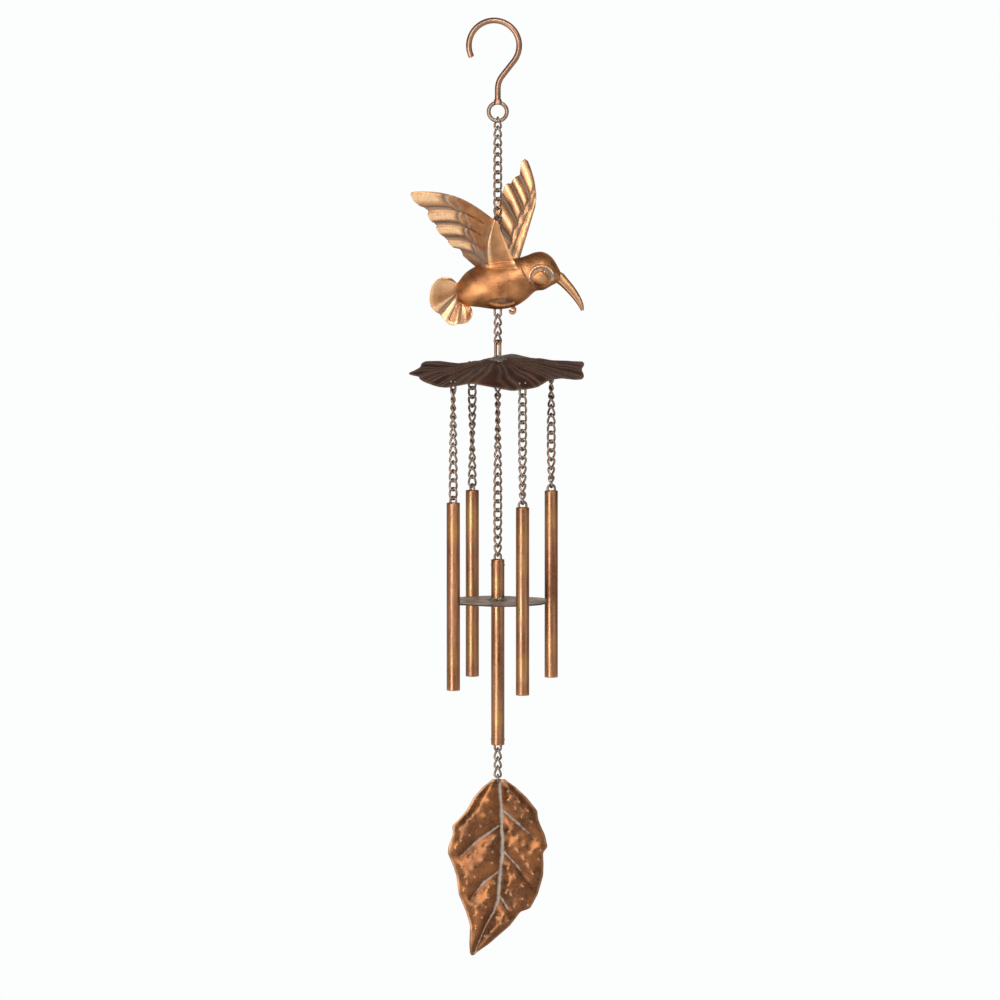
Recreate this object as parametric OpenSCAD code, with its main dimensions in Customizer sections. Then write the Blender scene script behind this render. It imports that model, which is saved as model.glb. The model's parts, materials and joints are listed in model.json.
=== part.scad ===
// Garden wind chime with a hummingbird, a leaf canopy, four tubes, a striker
// and a leaf sail, hung on curb chain. Millimetres, +Z up, front towards -Y.
// The origin is the inside of the hook's crown, where the chime hangs.

/* [Hook] */
// Diameter of the hook's wire
hook_wire_d = 4.4; // [3:0.1:6]
// Radius of the hook's large bend, at the middle of the wire
hook_bend_r = 18.8; // [14:0.1:26]
// Distance of the bend's centre to the left of the hanging line
hook_offset = 2.8; // [1:0.1:5]
// How far the open tip runs below the level of the bend's centre, in degrees
hook_tip_angle = 25; // [0:1:40]
// Slope of the neck under the bend, in degrees
hook_neck_angle = 38; // [30:1:50]
// Radius of the bend from the neck into the shank
hook_neck_r = 8; // [5:0.5:14]
// Straight shank above the ring
hook_shank_l = 11.5; // [6:0.5:30]
// Wire of the ring at the shank's foot
ring_wire_d = 3; // [2:0.1:4]
// Radius of the ring, at the middle of the wire
ring_r = 6.8; // [6:0.1:10]

/* [Chain] */
// Wire of the chain links
link_wire_d = 1.7; // [1.4:0.05:1.8]
// Outer width of a link
link_w = 6.9; // [6.7:0.1:8]
// Length that each link adds to a chain
link_pitch = 6.7; // [6:0.1:8]
// Play where two links, or a link and an eye, hang in one another
link_play = 0.25; // [0.2:0.05:0.5]
// Links between the hook and the bird
upper_links = 14; // [13:1:20]
// Links between the bird and the canopy
lower_links = 3; // [2:1:6]
// Links on the four tubes, counter-clockwise from the front left
tube_links = [12, 12, 13, 13];
// Links between the canopy and the striker
striker_links = 21; // [19:1:23]
// Links between the striker and the sail
sail_links = 3; // [2:1:8]

/* [Wire eyes] */
// Wire of the eyes, staples and bails
eye_wire_d = 1.8; // [1.4:0.1:2]
// Radius of their round ends, at the middle of the wire
eye_r = 2.3; // [2.2:0.1:3]
// Room round a wire that passes through a hole
hole_play = 0.1; // [0.05:0.05:0.3]
// Height of the staple above the bird's back
back_staple_h = 14; // [12:0.5:20]
// Drop of the canopy's shortest eye below the sheet
eye_drop = 6.3; // [6:0.1:9]
// Drop of its four eyes as shares of that, in the tubes' order
eye_drop_shares = [1.063, 1.46, 1.111, 1];
// Least width of leaf outside the canopy's eyes
eye_land = 3; // [2.5:0.1:4]
// Room between the bird's belly and the chain under it
belly_gap = 2.9; // [0.6:0.1:5]

/* [Bird] */
// Sheet of the stamped bird parts
bird_sheet = 0.9; // [0.6:0.1:1.2]
// Wire of the feet
foot_wire_d = 1.4; // [1:0.1:1.8]
// Radius of a curled foot
foot_r = 2; // [1.5:0.1:3]
// Distance between the two feet
foot_gap = 9; // [6:0.5:12]

/* [Canopy] */
// Sheet of the canopy leaf
canopy_sheet = 0.9; // [0.6:0.1:1.5]
// Distance of the leaf's tip from its middle
canopy_reach = 66.5; // [66:0.5:76]
// How far its lowest edge hangs below its middle
canopy_droop = 18.5; // [12:0.5:20]
// Depth of the hollow on its long side
canopy_sag = 4; // [0:0.25:5]
// Middle of the hanging loop's top wire above the leaf
loop_rise = 14.1; // [8:0.1:18]
// Middle of the loop's bottom wire below the leaf
loop_drop = 7.5; // [7:0.5:14]
// Wire of the hanging loop
loop_wire_d = 2.2; // [1.6:0.1:2.4]

/* [Tubes] */
// Outer diameter of the chime tubes
tube_d = 10; // [8:0.5:11]
// Wall of the tubes
tube_wall = 0.9; // [0.6:0.1:1.2]
// Length of the four chime tubes
tube_l = 141; // [110:1:180]
// Radius of the circle that the tubes hang on
tube_ring_r = 45.5; // [45:0.5:48]
// Direction of each tube from the centre, counter-clockwise from the front left
tube_angles = [223, 294, 388, 475];
// Middle of a bail's top wire above the tube's end
bail_rise = 4.6; // [4.2:0.1:7]
// Distance of the bail's holes from the tube's end
bail_hole_z = 4; // [3:0.5:8]
// Diameter of the pegs that hold a bail
peg_d = 1.4; // [1:0.1:1.6]
// Radius of a chime tube's bail, at the middle of the wire
bail_r = 3.1; // [2.3:0.1:3.1]

/* [Striker] */
// Length of the striker's tube
striker_l = 140; // [110:1:180]
// Radius of the striking disc
disc_r = 37.5; // [30:0.5:38]
// Thickness of the disc
disc_t = 1; // [0.6:0.1:2]
// Depth of the disc below the top of the striker's tube
disc_drop = 32; // [20:1:60]
// Width of the solder round the tube, on the disc
solder_w = 2; // [1:0.1:3]

/* [Sail] */
// Sheet of the sail leaf
sail_sheet = 0.9; // [0.6:0.1:1.5]
// Height that the leaf's cushions stand out between the veins
sail_relief = 4; // [2:0.25:6]
// Radius of the ring that carries the leaf, at the middle of the wire
sail_ring_r = 3; // [2.8:0.1:4]
// Height of the leaf's tip above the middle of its hole
sail_ear = 2.5; // [2:0.1:3]
// Wire of that ring
sail_ring_wire_d = 1.6; // [1.2:0.1:1.8]

/* [Hidden] */
$fn = 48;

copper = "#b06f3c";
copper_light = "#c98a50";
bronze_dark = "#4b2f24";
chain_grey = "#6b5a4c";
solder_grey = "#8d8780";

link_r = link_wire_d / 2;
eye_wr = eye_wire_d / 2;
link_half_w = (link_w - link_wire_d) / 2;
link_half_l = (link_pitch + link_wire_d + link_play) / 2;

// Bird: sections from the rump to the beak, as x, top, bottom and half width
body_rows = [
    [-30.6, 1, -11, 5], [-23.8, 9.6, -15, 10.5], [-13.3, 15.6, -16.5, 15],
    [0, 18.2, -18, 17], [12.2, 19.6, -16, 15.5], [21, 22.2, -10.8, 13],
    [28, 24.8, -4.6, 12], [34.5, 24.8, -3.4, 11.5], [41, 20.4, 0.2, 8.5],
    [46.7, 10.8, 3, 3]];

// Heights along the hanging line, from the hook down
hook_c = [-hook_offset, -(hook_bend_r - hook_wire_d / 2)];
neck_in = hook_c + hook_bend_r * [cos(hook_neck_angle), -sin(hook_neck_angle)];
neck_l = (neck_in[0] - hook_neck_r * (1 - cos(hook_neck_angle))) / sin(hook_neck_angle);
shank_z = neck_in[1] - neck_l * cos(hook_neck_angle) - hook_neck_r * sin(hook_neck_angle);
ring_z = shank_z - hook_shank_l - ring_wire_d / 2 - ring_r;
upper_z = ring_z - ring_r + seat(ring_wire_d / 2);
staple_z = chain_end(upper_z, upper_links) + seat(eye_wr);
bird_z = staple_z - back_staple_h - body_top(0);
belly_z = bird_z + body_bottom(0) - link_r - seat(eye_wr) - belly_gap;
lower_z = belly_z + seat(eye_wr);
loop_z = chain_end(lower_z, lower_links) + seat(loop_wire_d / 2);
canopy_z = loop_z - loop_rise;
loop_low_z = canopy_z - loop_drop;
striker_z = loop_low_z + seat(loop_wire_d / 2);
striker_bail_z = chain_end(striker_z, striker_links) + seat(eye_wr);
striker_top = striker_bail_z - bail_rise;
striker_low_z = striker_top - striker_l - bail_rise;
sail_chain_z = striker_low_z + seat(eye_wr);
sail_ring_top = chain_end(sail_chain_z, sail_links) + seat(sail_ring_wire_d / 2);
sail_hole_z = sail_ring_top - 2 * sail_ring_r;
sail_top = sail_hole_z + sail_ear;

// Distance between two wires that hang in one another, the second a link
function seat(r) = r + link_r + link_play;
// Middle of the last link's lowest wire
function chain_end(top, n) = top - (n - 1) * link_pitch - 2 * link_half_l;
function tube_xy(i) = tube_ring_r * [cos(tube_angles[i]), sin(tube_angles[i])];
function tube_eye_z(i) = leaf_z(tube_xy(i)) - canopy_sheet - eye_depth(i);
function eye_depth(i) = eye_drop * eye_drop_shares[i];
function tube_chain_z(i) = tube_eye_z(i) + seat(eye_wr);
function tube_bail_z(i) = chain_end(tube_chain_z(i), tube_links[i]) + seat(eye_wr);
function tube_top(i) = tube_bail_z(i) - bail_rise;
// Each chain turns by whole quarter turns from its eye to its bail
tube_quarters = [1, 1, 2, 2];
function tube_roll(i) = tube_angles[i] + 45;
function bail_turn(i) = tube_roll(i) + 90 * tube_quarters[i] + 135;

function clamp(x) = max(0, min(1, x));
function mix(a, b, t) = a + (b - a) * t;
// Broken line through rows of numbers, read by the first number
function line_at(rows, x, i = 0) = i >= len(rows) - 2 || x <= rows[i + 1][0]
    ? mix(rows[i], rows[i + 1], clamp((x - rows[i][0]) / (rows[i + 1][0] - rows[i][0])))
    : line_at(rows, x, i + 1);
// Smooth curve through evenly counted rows, t from 0 to 1
function row_at(rows, i) = rows[max(0, min(len(rows) - 1, i))];
function smooth_at(rows, t) =
    let (s = clamp(t) * (len(rows) - 1), i = min(floor(s), len(rows) - 2), f = s - i)
    let (a = row_at(rows, i - 1), b = row_at(rows, i), c = row_at(rows, i + 1))
    let (d = row_at(rows, i + 2))
    b + 0.5 * f * ((c - a) + f * ((2 * a - 5 * b + 4 * c - d) + f * (3 * (b - c) + d - a)));
function unit(v) = v / norm(v);

// A stamped sheet: the face f(u, v), and the same face set back by its thickness
module sheet(f, nu, nv, t) {
    e = 0.01;
    function normal(u, v) = unit(cross(f(min(u + e, 1), v) - f(max(u - e, 0), v),
        f(u, min(v + e, 1)) - f(u, max(v - e, 0))));
    face = [for (i = [0:nu], j = [0:nv]) f(i / nu, j / nv)];
    back = [for (i = [0:nu], j = [0:nv]) f(i / nu, j / nv) - t * normal(i / nu, j / nv)];
    n = len(face);
    function at(i, j) = i * (nv + 1) + j;
    rim = concat([for (i = [0:nu]) at(i, 0)], [for (j = [1:nv]) at(nu, j)],
        [for (i = [1:nu]) at(nu - i, nv)], [for (j = [1:nv - 1]) at(0, nv - j)]);
    polyhedron(concat(face, back), concat(
        [for (i = [0:nu - 1], j = [0:nv - 1], k = [0, 1])
            let (q = [at(i, j), at(i, j + 1), at(i + 1, j + 1), at(i + 1, j)])
            k == 0 ? [q[0], q[1], q[2]] : [q[0], q[2], q[3]]],
        [for (i = [0:nu - 1], j = [0:nv - 1], k = [0, 1])
            let (q = [at(i, j), at(i + 1, j), at(i + 1, j + 1), at(i, j + 1)])
            k == 0 ? [n + q[0], n + q[1], n + q[2]] : [n + q[0], n + q[2], n + q[3]]],
        [for (i = [0:len(rim) - 1], k = [0, 1])
            let (a = rim[i], b = rim[(i + 1) % len(rim)])
            k == 0 ? [a, b, n + b] : [a, n + b, n + a]]));
}

// A closed or open tube of rings, each a list of points in the same sense
module rings(r, closed) {
    m = len(r[0]);
    n = len(r);
    pts = [for (ring = r, p = ring) p];
    polyhedron(pts, concat(
        [for (i = [0:closed ? n - 1 : n - 2], j = [0:m - 1], k = [0, 1])
            let (a = i * m + j, b = i * m + (j + 1) % m)
            let (c = ((i + 1) % n) * m + (j + 1) % m, d = ((i + 1) % n) * m + j)
            k == 0 ? [a, c, b] : [a, d, c]],
        closed ? [] : [for (j = [1:m - 2], k = [0, 1]) k == 0 ? [0, j, j + 1]
            : [(n - 1) * m, (n - 1) * m + j + 1, (n - 1) * m + j]]));
}

// One curb link: an oval whose two ends are twisted a quarter turn apart
module curb_link() {
    function p(t) = [link_half_w * cos(t), -link_half_w / 2 * sin(2 * t), link_half_l * sin(t)];
    function dir(t) = unit([-link_half_w * sin(t), -link_half_w * cos(2 * t), link_half_l * cos(t)]);
    rings([for (i = [0:9]) let (t = 90 + 36 * i, d = dir(t))
        let (a = unit(cross(d, [0, 1, 0])), b = cross(d, a))
        [for (j = [0:4]) p(t) + link_r * (a * cos(72 * j) + b * sin(72 * j))]], true);
}

// A chain that hangs from the height top, turned from roll by so many quarters
module chain(n, top, roll, quarters) {
    color(chain_grey) for (i = [0:n - 1])
        translate([0, 0, top - link_half_l - i * link_pitch])
            rotate(roll + (n > 1 ? 90 * quarters * i / (n - 1) : 0)) curb_link();
}

// A round bend of wire, from the direction from to the direction to, round Y
module bend(r, d, from, to) {
    rotate([90, 0, 0]) rotate(from) rotate_extrude(angle = to - from)
        translate([r, 0]) circle(d = d);
}

module rod(d, a, b) {
    v = b - a;
    translate(a) rotate([0, acos(v[2] / norm(v)), atan2(v[1], v[0])])
        cylinder(d = d, h = norm(v));
}

// A wire arch in the XZ plane, its round end at the height top, legs down to foot
module arch(d, r, top, foot) {
    translate([0, 0, top - r]) bend(r, d, 0, 180);
    for (x = [-r, r]) translate([x, 0, foot]) cylinder(d = d, h = top - r - foot);
}

// A bead, a hair over the wire's own size, closes the joint of two lengths of wire
bead_over = 1.015;
joint_gap = 0.1;

module hook_rod() {
    d = hook_wire_d;
    neck_out = neck_in - neck_l * [sin(hook_neck_angle), cos(hook_neck_angle)];
    slope = joint_gap * [sin(hook_neck_angle), cos(hook_neck_angle)];
    a = neck_in - slope;
    b = neck_out + slope;
    color(copper) difference() {
        union() {
            translate([hook_c[0], 0, hook_c[1]])
                bend(hook_bend_r, d, -hook_neck_angle, 180 + hook_tip_angle);
            rod(d, [b[0], 0, b[1]], [a[0], 0, a[1]]);
            translate([hook_neck_r, 0, shank_z])
                bend(hook_neck_r, d, 180 - hook_neck_angle, 180);
            rod(d, [0, 0, ring_z + ring_r], [0, 0, shank_z - joint_gap]);
            for (p = [neck_in, neck_out, [0, shank_z]]) translate([p[0], 0, p[1]])
                sphere(d = d * bead_over);
        }
        translate([0, 0, ring_z]) ring_torus(ring_r, ring_wire_d);
    }
}

module ring_torus(r, d) {
    rotate([90, 0, 0]) rotate_extrude() translate([r, 0]) circle(d = d);
}

module hook_ring() {
    color(chain_grey) translate([0, 0, ring_z]) ring_torus(ring_r, ring_wire_d);
}

module upper_chain() {
    chain(upper_links, upper_z, 135, 1);
}

function body_top(x) = line_at(body_rows, x)[1];
function body_bottom(x) = line_at(body_rows, x)[2];
// Half width of the body at a place in its side view
function body_y(x, z) = let (s = line_at(body_rows, x), m = (s[1] + s[2]) / 2, h = (s[1] - s[2]) / 2)
    s[3] * sqrt(1 - pow(min(0.99, abs(z - m) / h), 2));

// Outer face of one half of the body, side 1 near and -1 far, and both as one solid
function body_face(u, v, side) =
    let (s = smooth_at(body_rows, u), m = (s[1] + s[2]) / 2, h = (s[1] - s[2]) / 2)
    [s[0], -side * s[3] * sin(180 * v), m + side * h * cos(180 * v)];
body_nu = 18;
body_nv = 8;

module body_solid() {
    mirror([0, 1, 0]) rings([for (i = [0:body_nu]) [for (side = [1, -1], j = [0:body_nv - 1])
        body_face(i / body_nu, j / body_nv, side)]], false);
}

module body_half(side) {
    f = function (u, v) body_face(u, 1 - v, side);
    color(copper) translate([0, 0, bird_z]) difference() {
        sheet(f, body_nu, body_nv, bird_sheet);
        for (x = [-eye_r, eye_r]) {
            translate([x, 0, 0]) cylinder(d = eye_wire_d + 2 * hole_play, h = 2 * body_top(0));
            translate([x, 0, 2 * body_bottom(0)])
                cylinder(d = eye_wire_d + 2 * hole_play, h = -2 * body_bottom(0));
        }
    }
}

module bird_body_near() {
    body_half(1);
}

module bird_body_far() {
    body_half(-1);
}

// Near wing: the crease from its top to the body, the front edge and the feather ends
near_crease = [[-2.6, 49.3], [-7.6, 31], [-6.2, 13]];
near_front = [[-0.6, 48.4], [7.4, 30], [15.5, 13]];
near_tips = [[-64.7, 69.3], [-52.5, 56.6], [-46.3, 46], [-37.3, 34.6], [-27.3, 25], [-16.8, 15]];
// Far wing: its leading edge and its feather ends
far_front = [[28.4, 66], [26, 43], [15.5, 17]];
far_tips = [[20, 92.5], [14.8, 79.5], [8, 74.5], [2.5, 63.5], [-3, 46], [-12.6, 16.8]];
wing_feathers = 5;
// Lean of the wings out from the body, and of the near wing's feathers behind its crease
near_lean = 0.24;
far_lean = 0.29;
wing_sweep = 0.22;
// Share of the near wing's grid in front of its crease
wing_fold = 0.25;
panel_lean = -0.1;
near_bow = 7;
far_bow = 3;
// How far a wing's root runs into the body, where it is cut to fit
wing_sink = 0.8;

// Round end of each feather, as a share of its length, and the swell across it
function feather(v) = let (s = wing_feathers * v) s - floor(min(s, wing_feathers - 0.001));
function feather_end(v) = 1 - 0.09 * pow(2 * feather(v) - 1, 2);
function feather_swell(v) = 1.4 * sin(180 * feather(v));

// Side of the body for a wing: flat above the root, on the body's own face at the root
function wing_seat(p, root, v) =
    mix(body_y(root[0], root[1]) + bird_sheet, body_y(p[0], p[1]) - wing_sink, pow(v, 5));

module bird_wing_near() {
    root = near_crease[len(near_crease) - 1];
    f = function (u, v)
        let (c = smooth_at(near_crease, v), w = (u - wing_fold) / (1 - wing_fold))
        let (t = smooth_at(near_tips, v), g = smooth_at(near_front, v), front = u < wing_fold)
        let (p = front ? mix(g, c, u / wing_fold) : mix(c, t, w * feather_end(v)))
        let (bow = front ? 0 : near_bow * sin(180 * w) * (1 - v))
        let (reach = norm(p - c) * (front ? panel_lean : wing_sweep) * (1 - pow(v, 5)))
        let (swell = front ? 0 : feather_swell(v) * clamp(3 * w) * (1 - pow(v, 5)))
        [p[0], -(wing_seat(p, root, v) + near_lean * (p[1] - root[1]) + reach + swell), p[1] + bow];
    color(copper_light) translate([0, 0, bird_z]) difference() {
        sheet(f, 9, 15, bird_sheet);
        body_solid();
    }
}

module bird_wing_far() {
    root = [0, far_front[len(far_front) - 1][1]];
    f = function (u, v)
        let (c = smooth_at(far_front, v), t = smooth_at(far_tips, v))
        let (p = mix(c, t, u * feather_end(v)), bow = far_bow * sin(180 * u) * (1 - v))
        let (swell = feather_swell(v) * clamp(2 * u) * (1 - pow(v, 5)))
        [p[0] + bow, wing_seat(p, root, v) + far_lean * (p[1] - root[1]) - swell, p[1]];
    color(copper_light) translate([0, 0, bird_z]) difference() {
        sheet(f, 6, 15, bird_sheet);
        body_solid();
    }
}

// Tail fan: direction, distance of its root and of its ends from the rump's middle
tail_c = [-25.4, -2];
tail_rows = [[145, 5, 14], [165, 4.2, 22], [190, 4.2, 25.5], [212, 5.2, 28], [232, 7.6, 27],
    [248, 9.6, 28.5], [262, 10.8, 27.5], [276, 12.4, 25],
    [288, 13, 20]];
tail_feathers = 3;

module bird_tail() {
    f = function (u, v)
        let (s = smooth_at(tail_rows, v), q = tail_feathers * v, k = q - floor(min(q, tail_feathers - 0.001)))
        let (r = mix(s[1], s[2] - 1.6 * pow(2 * k - 1, 4), u))
        [tail_c[0] + r * cos(s[0]), -1.8 * sin(180 * k) * u - 4 * u * u, tail_c[1] + r * sin(s[0])];
    color(copper_light) translate([0, 0, bird_z]) difference() {
        sheet(f, 4, 15, bird_sheet);
        body_solid();
    }
}

// Beak: x, height, half height and half width along its curve
beak_rows = [[46.75, 6.9, 3.9, 3], [50.5, 3.4, 3, 2.5], [55, -1.4, 2.3, 1.9], [59.5, -8.4, 1.7, 1.4],
    [62.2, -14.6, 1.35, 1.2], [63.2, -19.4, 1, 0.9]];

module bird_beak() {
    function p(t) = smooth_at(beak_rows, t);
    function dir(t) = let (d = p(min(1, t + 0.05)) - p(max(0, t - 0.05))) unit([d[0], 0, d[1]]);
    color(copper) translate([0, 0, bird_z]) rings([for (i = [0:8])
        let (s = p(i / 8), d = i == 0 ? [1, 0, 0] : dir(i / 8), a = cross(d, [0, 1, 0]))
        [for (j = [0:7]) [s[0], 0, s[1]] + s[2] * cos(45 * j) * a - [0, s[3] * sin(45 * j), 0]]], false);
}

module bird_feet() {
    x = 11;
    y = foot_gap / 2;
    z = bird_z + foot_seat(x, y) - foot_r;
    color(copper) for (side = [-y, y]) translate([x, side, z])
        bend(foot_r, foot_wire_d, -170, 110);
}
// Height of the belly at a foot, which it slopes away from
foot_slope = 0.5;
function foot_seat(x, y) = let (s = line_at(body_rows, x), m = (s[1] + s[2]) / 2, h = (s[1] - s[2]) / 2)
    m - h * sqrt(1 - pow(y / s[3], 2)) - foot_wire_d / 2 - foot_slope;

module bird_back_staple() {
    color(chain_grey) arch(eye_wire_d, eye_r, staple_z, bird_z + body_top(0) - 8);
}

module bird_belly_eye() {
    color(chain_grey) translate([0, 0, belly_z]) mirror([0, 0, 1])
        arch(eye_wire_d, eye_r, 0, belly_z - bird_z - body_bottom(0) - 6);
}

module lower_chain() {
    chain(lower_links, lower_z, 135, 0);
}

// Canopy: direction, reach and height of the edge, as shares of the reach and the droop
leaf_rows = [[0, 0.93, -0.38], [7, 0.98, -0.24], [14, 0.99, -0.12], [24, 0.84, -0.27],
    [34, 0.8, -0.19], [60, 0.78, -0.15], [78, 0.77, 0.02], [92, 0.76, -0.12], [108, 0.76, -0.34],
    [135, 0.75, -0.36], [152, 0.8, -0.22], [163, 0.85, -0.13], [172, 0.9, -0.26], [180, 1, -0.57],
    [188, 0.92, -0.65], [197, 0.865, -0.8], [212, 0.78, -0.95], [223, 0.77, -0.94],
    [247, 0.76, -0.72], [262, 0.77, -0.82], [282, 0.78, -1], [305, 0.77, -0.9], [318, 0.76, -0.66],
    [332, 0.8, -0.6], [343, 0.9, -0.7], [349, 0.98, -0.72], [355, 0.97, -0.54], [360, 0.93, -0.38]];
// Fall from the leaf's middle, flat there and steeper towards the edge
leaf_power = 1.6;
// Direction of the hollow
sag_angle = 160;
// Length of an eye's legs above the leaf
eye_rivet = eye_wire_d / 2 + hole_play;
function leaf_edge(a) = line_at(leaf_rows, a % 360);
function leaf_r(a) = max(canopy_reach * leaf_edge(a)[1], tube_ring_r + eye_land);
function leaf_z(p) =
    let (a = (atan2(p[1], p[0]) + 360) % 360, t = norm(p) / leaf_r(a))
    let (hollow = pow(max(0, cos(a - sag_angle)), 6) * pow(sin(180 * min(t, 1)), 2))
    canopy_z + canopy_droop * leaf_edge(a)[2] * pow(t, leaf_power) - canopy_sag * hollow;

module canopy_leaf() {
    na = 48;
    nr = 5;
    top = concat([[0, 0, canopy_z]], [for (i = [1:nr], j = [0:na - 1])
        let (a = 360 * j / na, p = i / nr * leaf_r(a) * [cos(a), sin(a)]) [p[0], p[1], leaf_z(p)]]);
    m = len(top);
    function at(i, j) = 1 + (i - 1) * na + j % na;
    up = concat([for (j = [0:na - 1]) [0, at(1, j + 1), at(1, j)]],
        [for (i = [1:nr - 1], j = [0:na - 1], k = [0, 1]) k == 0
            ? [at(i, j), at(i, j + 1), at(i + 1, j + 1)] : [at(i, j), at(i + 1, j + 1), at(i + 1, j)]]);
    color(bronze_dark) difference() {
        polyhedron(concat(top, [for (p = top) p - [0, 0, canopy_sheet]]), concat(up,
            [for (f = up) [m + f[0], m + f[2], m + f[1]]],
            [for (j = [0:na - 1], k = [0, 1]) k == 0 ? [at(nr, j), at(nr, j + 1), m + at(nr, j + 1)]
                : [at(nr, j), m + at(nr, j + 1), m + at(nr, j)]]));
        for (y = [-eye_r, eye_r]) translate([0, y, canopy_z - canopy_droop])
            cylinder(d = loop_wire_d + 2 * hole_play, h = 2 * canopy_droop);
        for (i = [0:3], s = [-eye_r, eye_r]) translate([tube_xy(i)[0], tube_xy(i)[1], tube_eye_z(i)])
            rotate(tube_angles[i]) translate([0, s, 0])
                cylinder(d = eye_wire_d + 2 * hole_play, h = eye_depth(i) + canopy_droop);
    }
}

module canopy_loop() {
    color(chain_grey) rotate(90) {
        arch(loop_wire_d, eye_r, loop_z, canopy_z);
        translate([0, 0, canopy_z]) mirror([0, 0, 1])
            arch(loop_wire_d, eye_r, canopy_z - loop_low_z, 0);
    }
}

module canopy_eyes() {
    color(chain_grey) for (i = [0:3]) translate([tube_xy(i)[0], tube_xy(i)[1], tube_eye_z(i)])
        rotate(tube_angles[i] + 90) mirror([0, 0, 1])
            arch(eye_wire_d, eye_r, 0, -eye_depth(i) - canopy_sheet - eye_rivet);
}

module tube_chain(i) {
    translate([tube_xy(i)[0], tube_xy(i)[1], 0])
        chain(tube_links[i], tube_chain_z(i), tube_roll(i), tube_quarters[i]);
}

module tube_chain_1() {
    tube_chain(0);
}

module tube_chain_2() {
    tube_chain(1);
}

module tube_chain_3() {
    tube_chain(2);
}

module tube_chain_4() {
    tube_chain(3);
}

// A tube with its top end at z = 0 and a pair of peg holes across it
module tube(l, turns) {
    color(copper) difference() {
        translate([0, 0, -l]) cylinder(d = tube_d, h = l);
        translate([0, 0, -l - 1]) cylinder(d = tube_d - 2 * tube_wall, h = l + 2);
        for (t = turns) translate([0, 0, t[1]]) rotate([0, 90, t[0]])
            cylinder(d = peg_d + 2 * hole_play, h = tube_d + 2, center = true);
    }
}

// A bail: an arch whose legs stand in a tube and whose pegs sit in its holes
module bail(r) {
    color(chain_grey) {
        arch(eye_wire_d, r, bail_rise, -bail_hole_z);
        for (s = [0, 180]) rotate(s) rod(peg_d, [r, 0, -bail_hole_z], [tube_d / 2, 0, -bail_hole_z]);
    }
}

module chime_tube(i) {
    translate([tube_xy(i)[0], tube_xy(i)[1], tube_top(i)]) tube(tube_l, [[bail_turn(i), -bail_hole_z]]);
}

module tube_bail(i) {
    translate([tube_xy(i)[0], tube_xy(i)[1], tube_top(i)]) rotate(bail_turn(i)) bail(bail_r);
}

module chime_tube_1() {
    chime_tube(0);
}

module chime_tube_2() {
    chime_tube(1);
}

module chime_tube_3() {
    chime_tube(2);
}

module chime_tube_4() {
    chime_tube(3);
}

module tube_bail_1() {
    tube_bail(0);
}

module tube_bail_2() {
    tube_bail(1);
}

module tube_bail_3() {
    tube_bail(2);
}

module tube_bail_4() {
    tube_bail(3);
}

module striker_chain() {
    chain(striker_links, striker_z, 45, 2);
}

module striker_tube() {
    translate([0, 0, striker_top]) tube(striker_l, [[0, -bail_hole_z], [0, bail_hole_z - striker_l]]);
}

module striker_disc() {
    color(bronze_dark) translate([0, 0, striker_top - disc_drop]) difference() {
        cylinder(r = disc_r, h = disc_t, $fn = 96);
        translate([0, 0, -1]) cylinder(d = tube_d + 2 * hole_play, h = disc_t + 2);
    }
}

module striker_solder() {
    r = tube_d / 2 + hole_play;
    color(solder_grey) translate([0, 0, striker_top - disc_drop + disc_t]) rotate_extrude()
        polygon([[r, 0], [r + solder_w, 0], [r + 0.3, solder_w], [r, solder_w]]);
}

module striker_bail_top() {
    translate([0, 0, striker_top]) bail(eye_r);
}

module striker_bail_bottom() {
    translate([0, 0, striker_top - striker_l]) mirror([0, 0, 1]) bail(eye_r);
}

module sail_chain() {
    chain(sail_links, sail_chain_z, 135, 0);
}

// Sail: rows of depth, left edge, midrib and right edge down the leaf
sail_rows = [[0, -2.5, 0.5, 3.5], [13.4, -14.6, 1.6, 19.8], [24, -21.3, 2.6, 28.6],
    [35.4, -32.3, 3.1, 31.8], [45, -31.5, 3.4, 35.6], [53.6, -36.2, 3.4, 37], [60.3, -34.7, 2.6, 33.5],
    [72.7, -30, 1.6, 33.4], [87, -28.5, 0.7, 30.3], [99, -24, -2.5, 24.8], [101.5, -23, -3.3, 17.5],
    [116, -20, -11.3, 4.5], [133, -20.6, -19.2, -17.4]];
// Where the side veins leave the midrib, and how far they run down to the edge
left_veins = [-8, 35, 69, 112];
right_veins = [-10, 23.5, 56, 88, 126];
vein_fall = 23;
// Cushion between two veins: 0 at a vein, 1 halfway
function cushion(veins, d, i = 0) = i >= len(veins) - 1 ? 0 : d < veins[i + 1]
    ? sin(180 * clamp((d - veins[i]) / (veins[i + 1] - veins[i]))) : cushion(veins, d, i + 1);

module sail_leaf() {
    depth = sail_rows[len(sail_rows) - 1][0];
    f = function (u, v)
        let (r = line_at(sail_rows, depth * v), s = 2 * u - 1, a = abs(s))
        let (x = s < 0 ? mix(r[2], r[1], a) : mix(r[2], r[3], a))
        let (c = cushion(s < 0 ? left_veins : right_veins, depth * v - vein_fall * a))
        let (swell = sin(180 * pow(a, 0.7)) * (0.45 + 0.55 * c) * clamp(8 * (v - 0.04)) * clamp(6 * (1 - v)))
        [x, -sail_relief * swell, sail_top - depth * v];
    color(copper_light) difference() {
        sheet(f, 10, 26, sail_sheet);
        translate([0, 0, sail_hole_z]) rotate([90, 0, 0])
            cylinder(d = sail_ring_wire_d + 0.9, h = 20, center = true);
    }
}

module sail_ring() {
    color(chain_grey) translate([0, 0, sail_ring_top - sail_ring_r]) rotate(90)
        ring_torus(sail_ring_r, sail_ring_wire_d);
}

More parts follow.
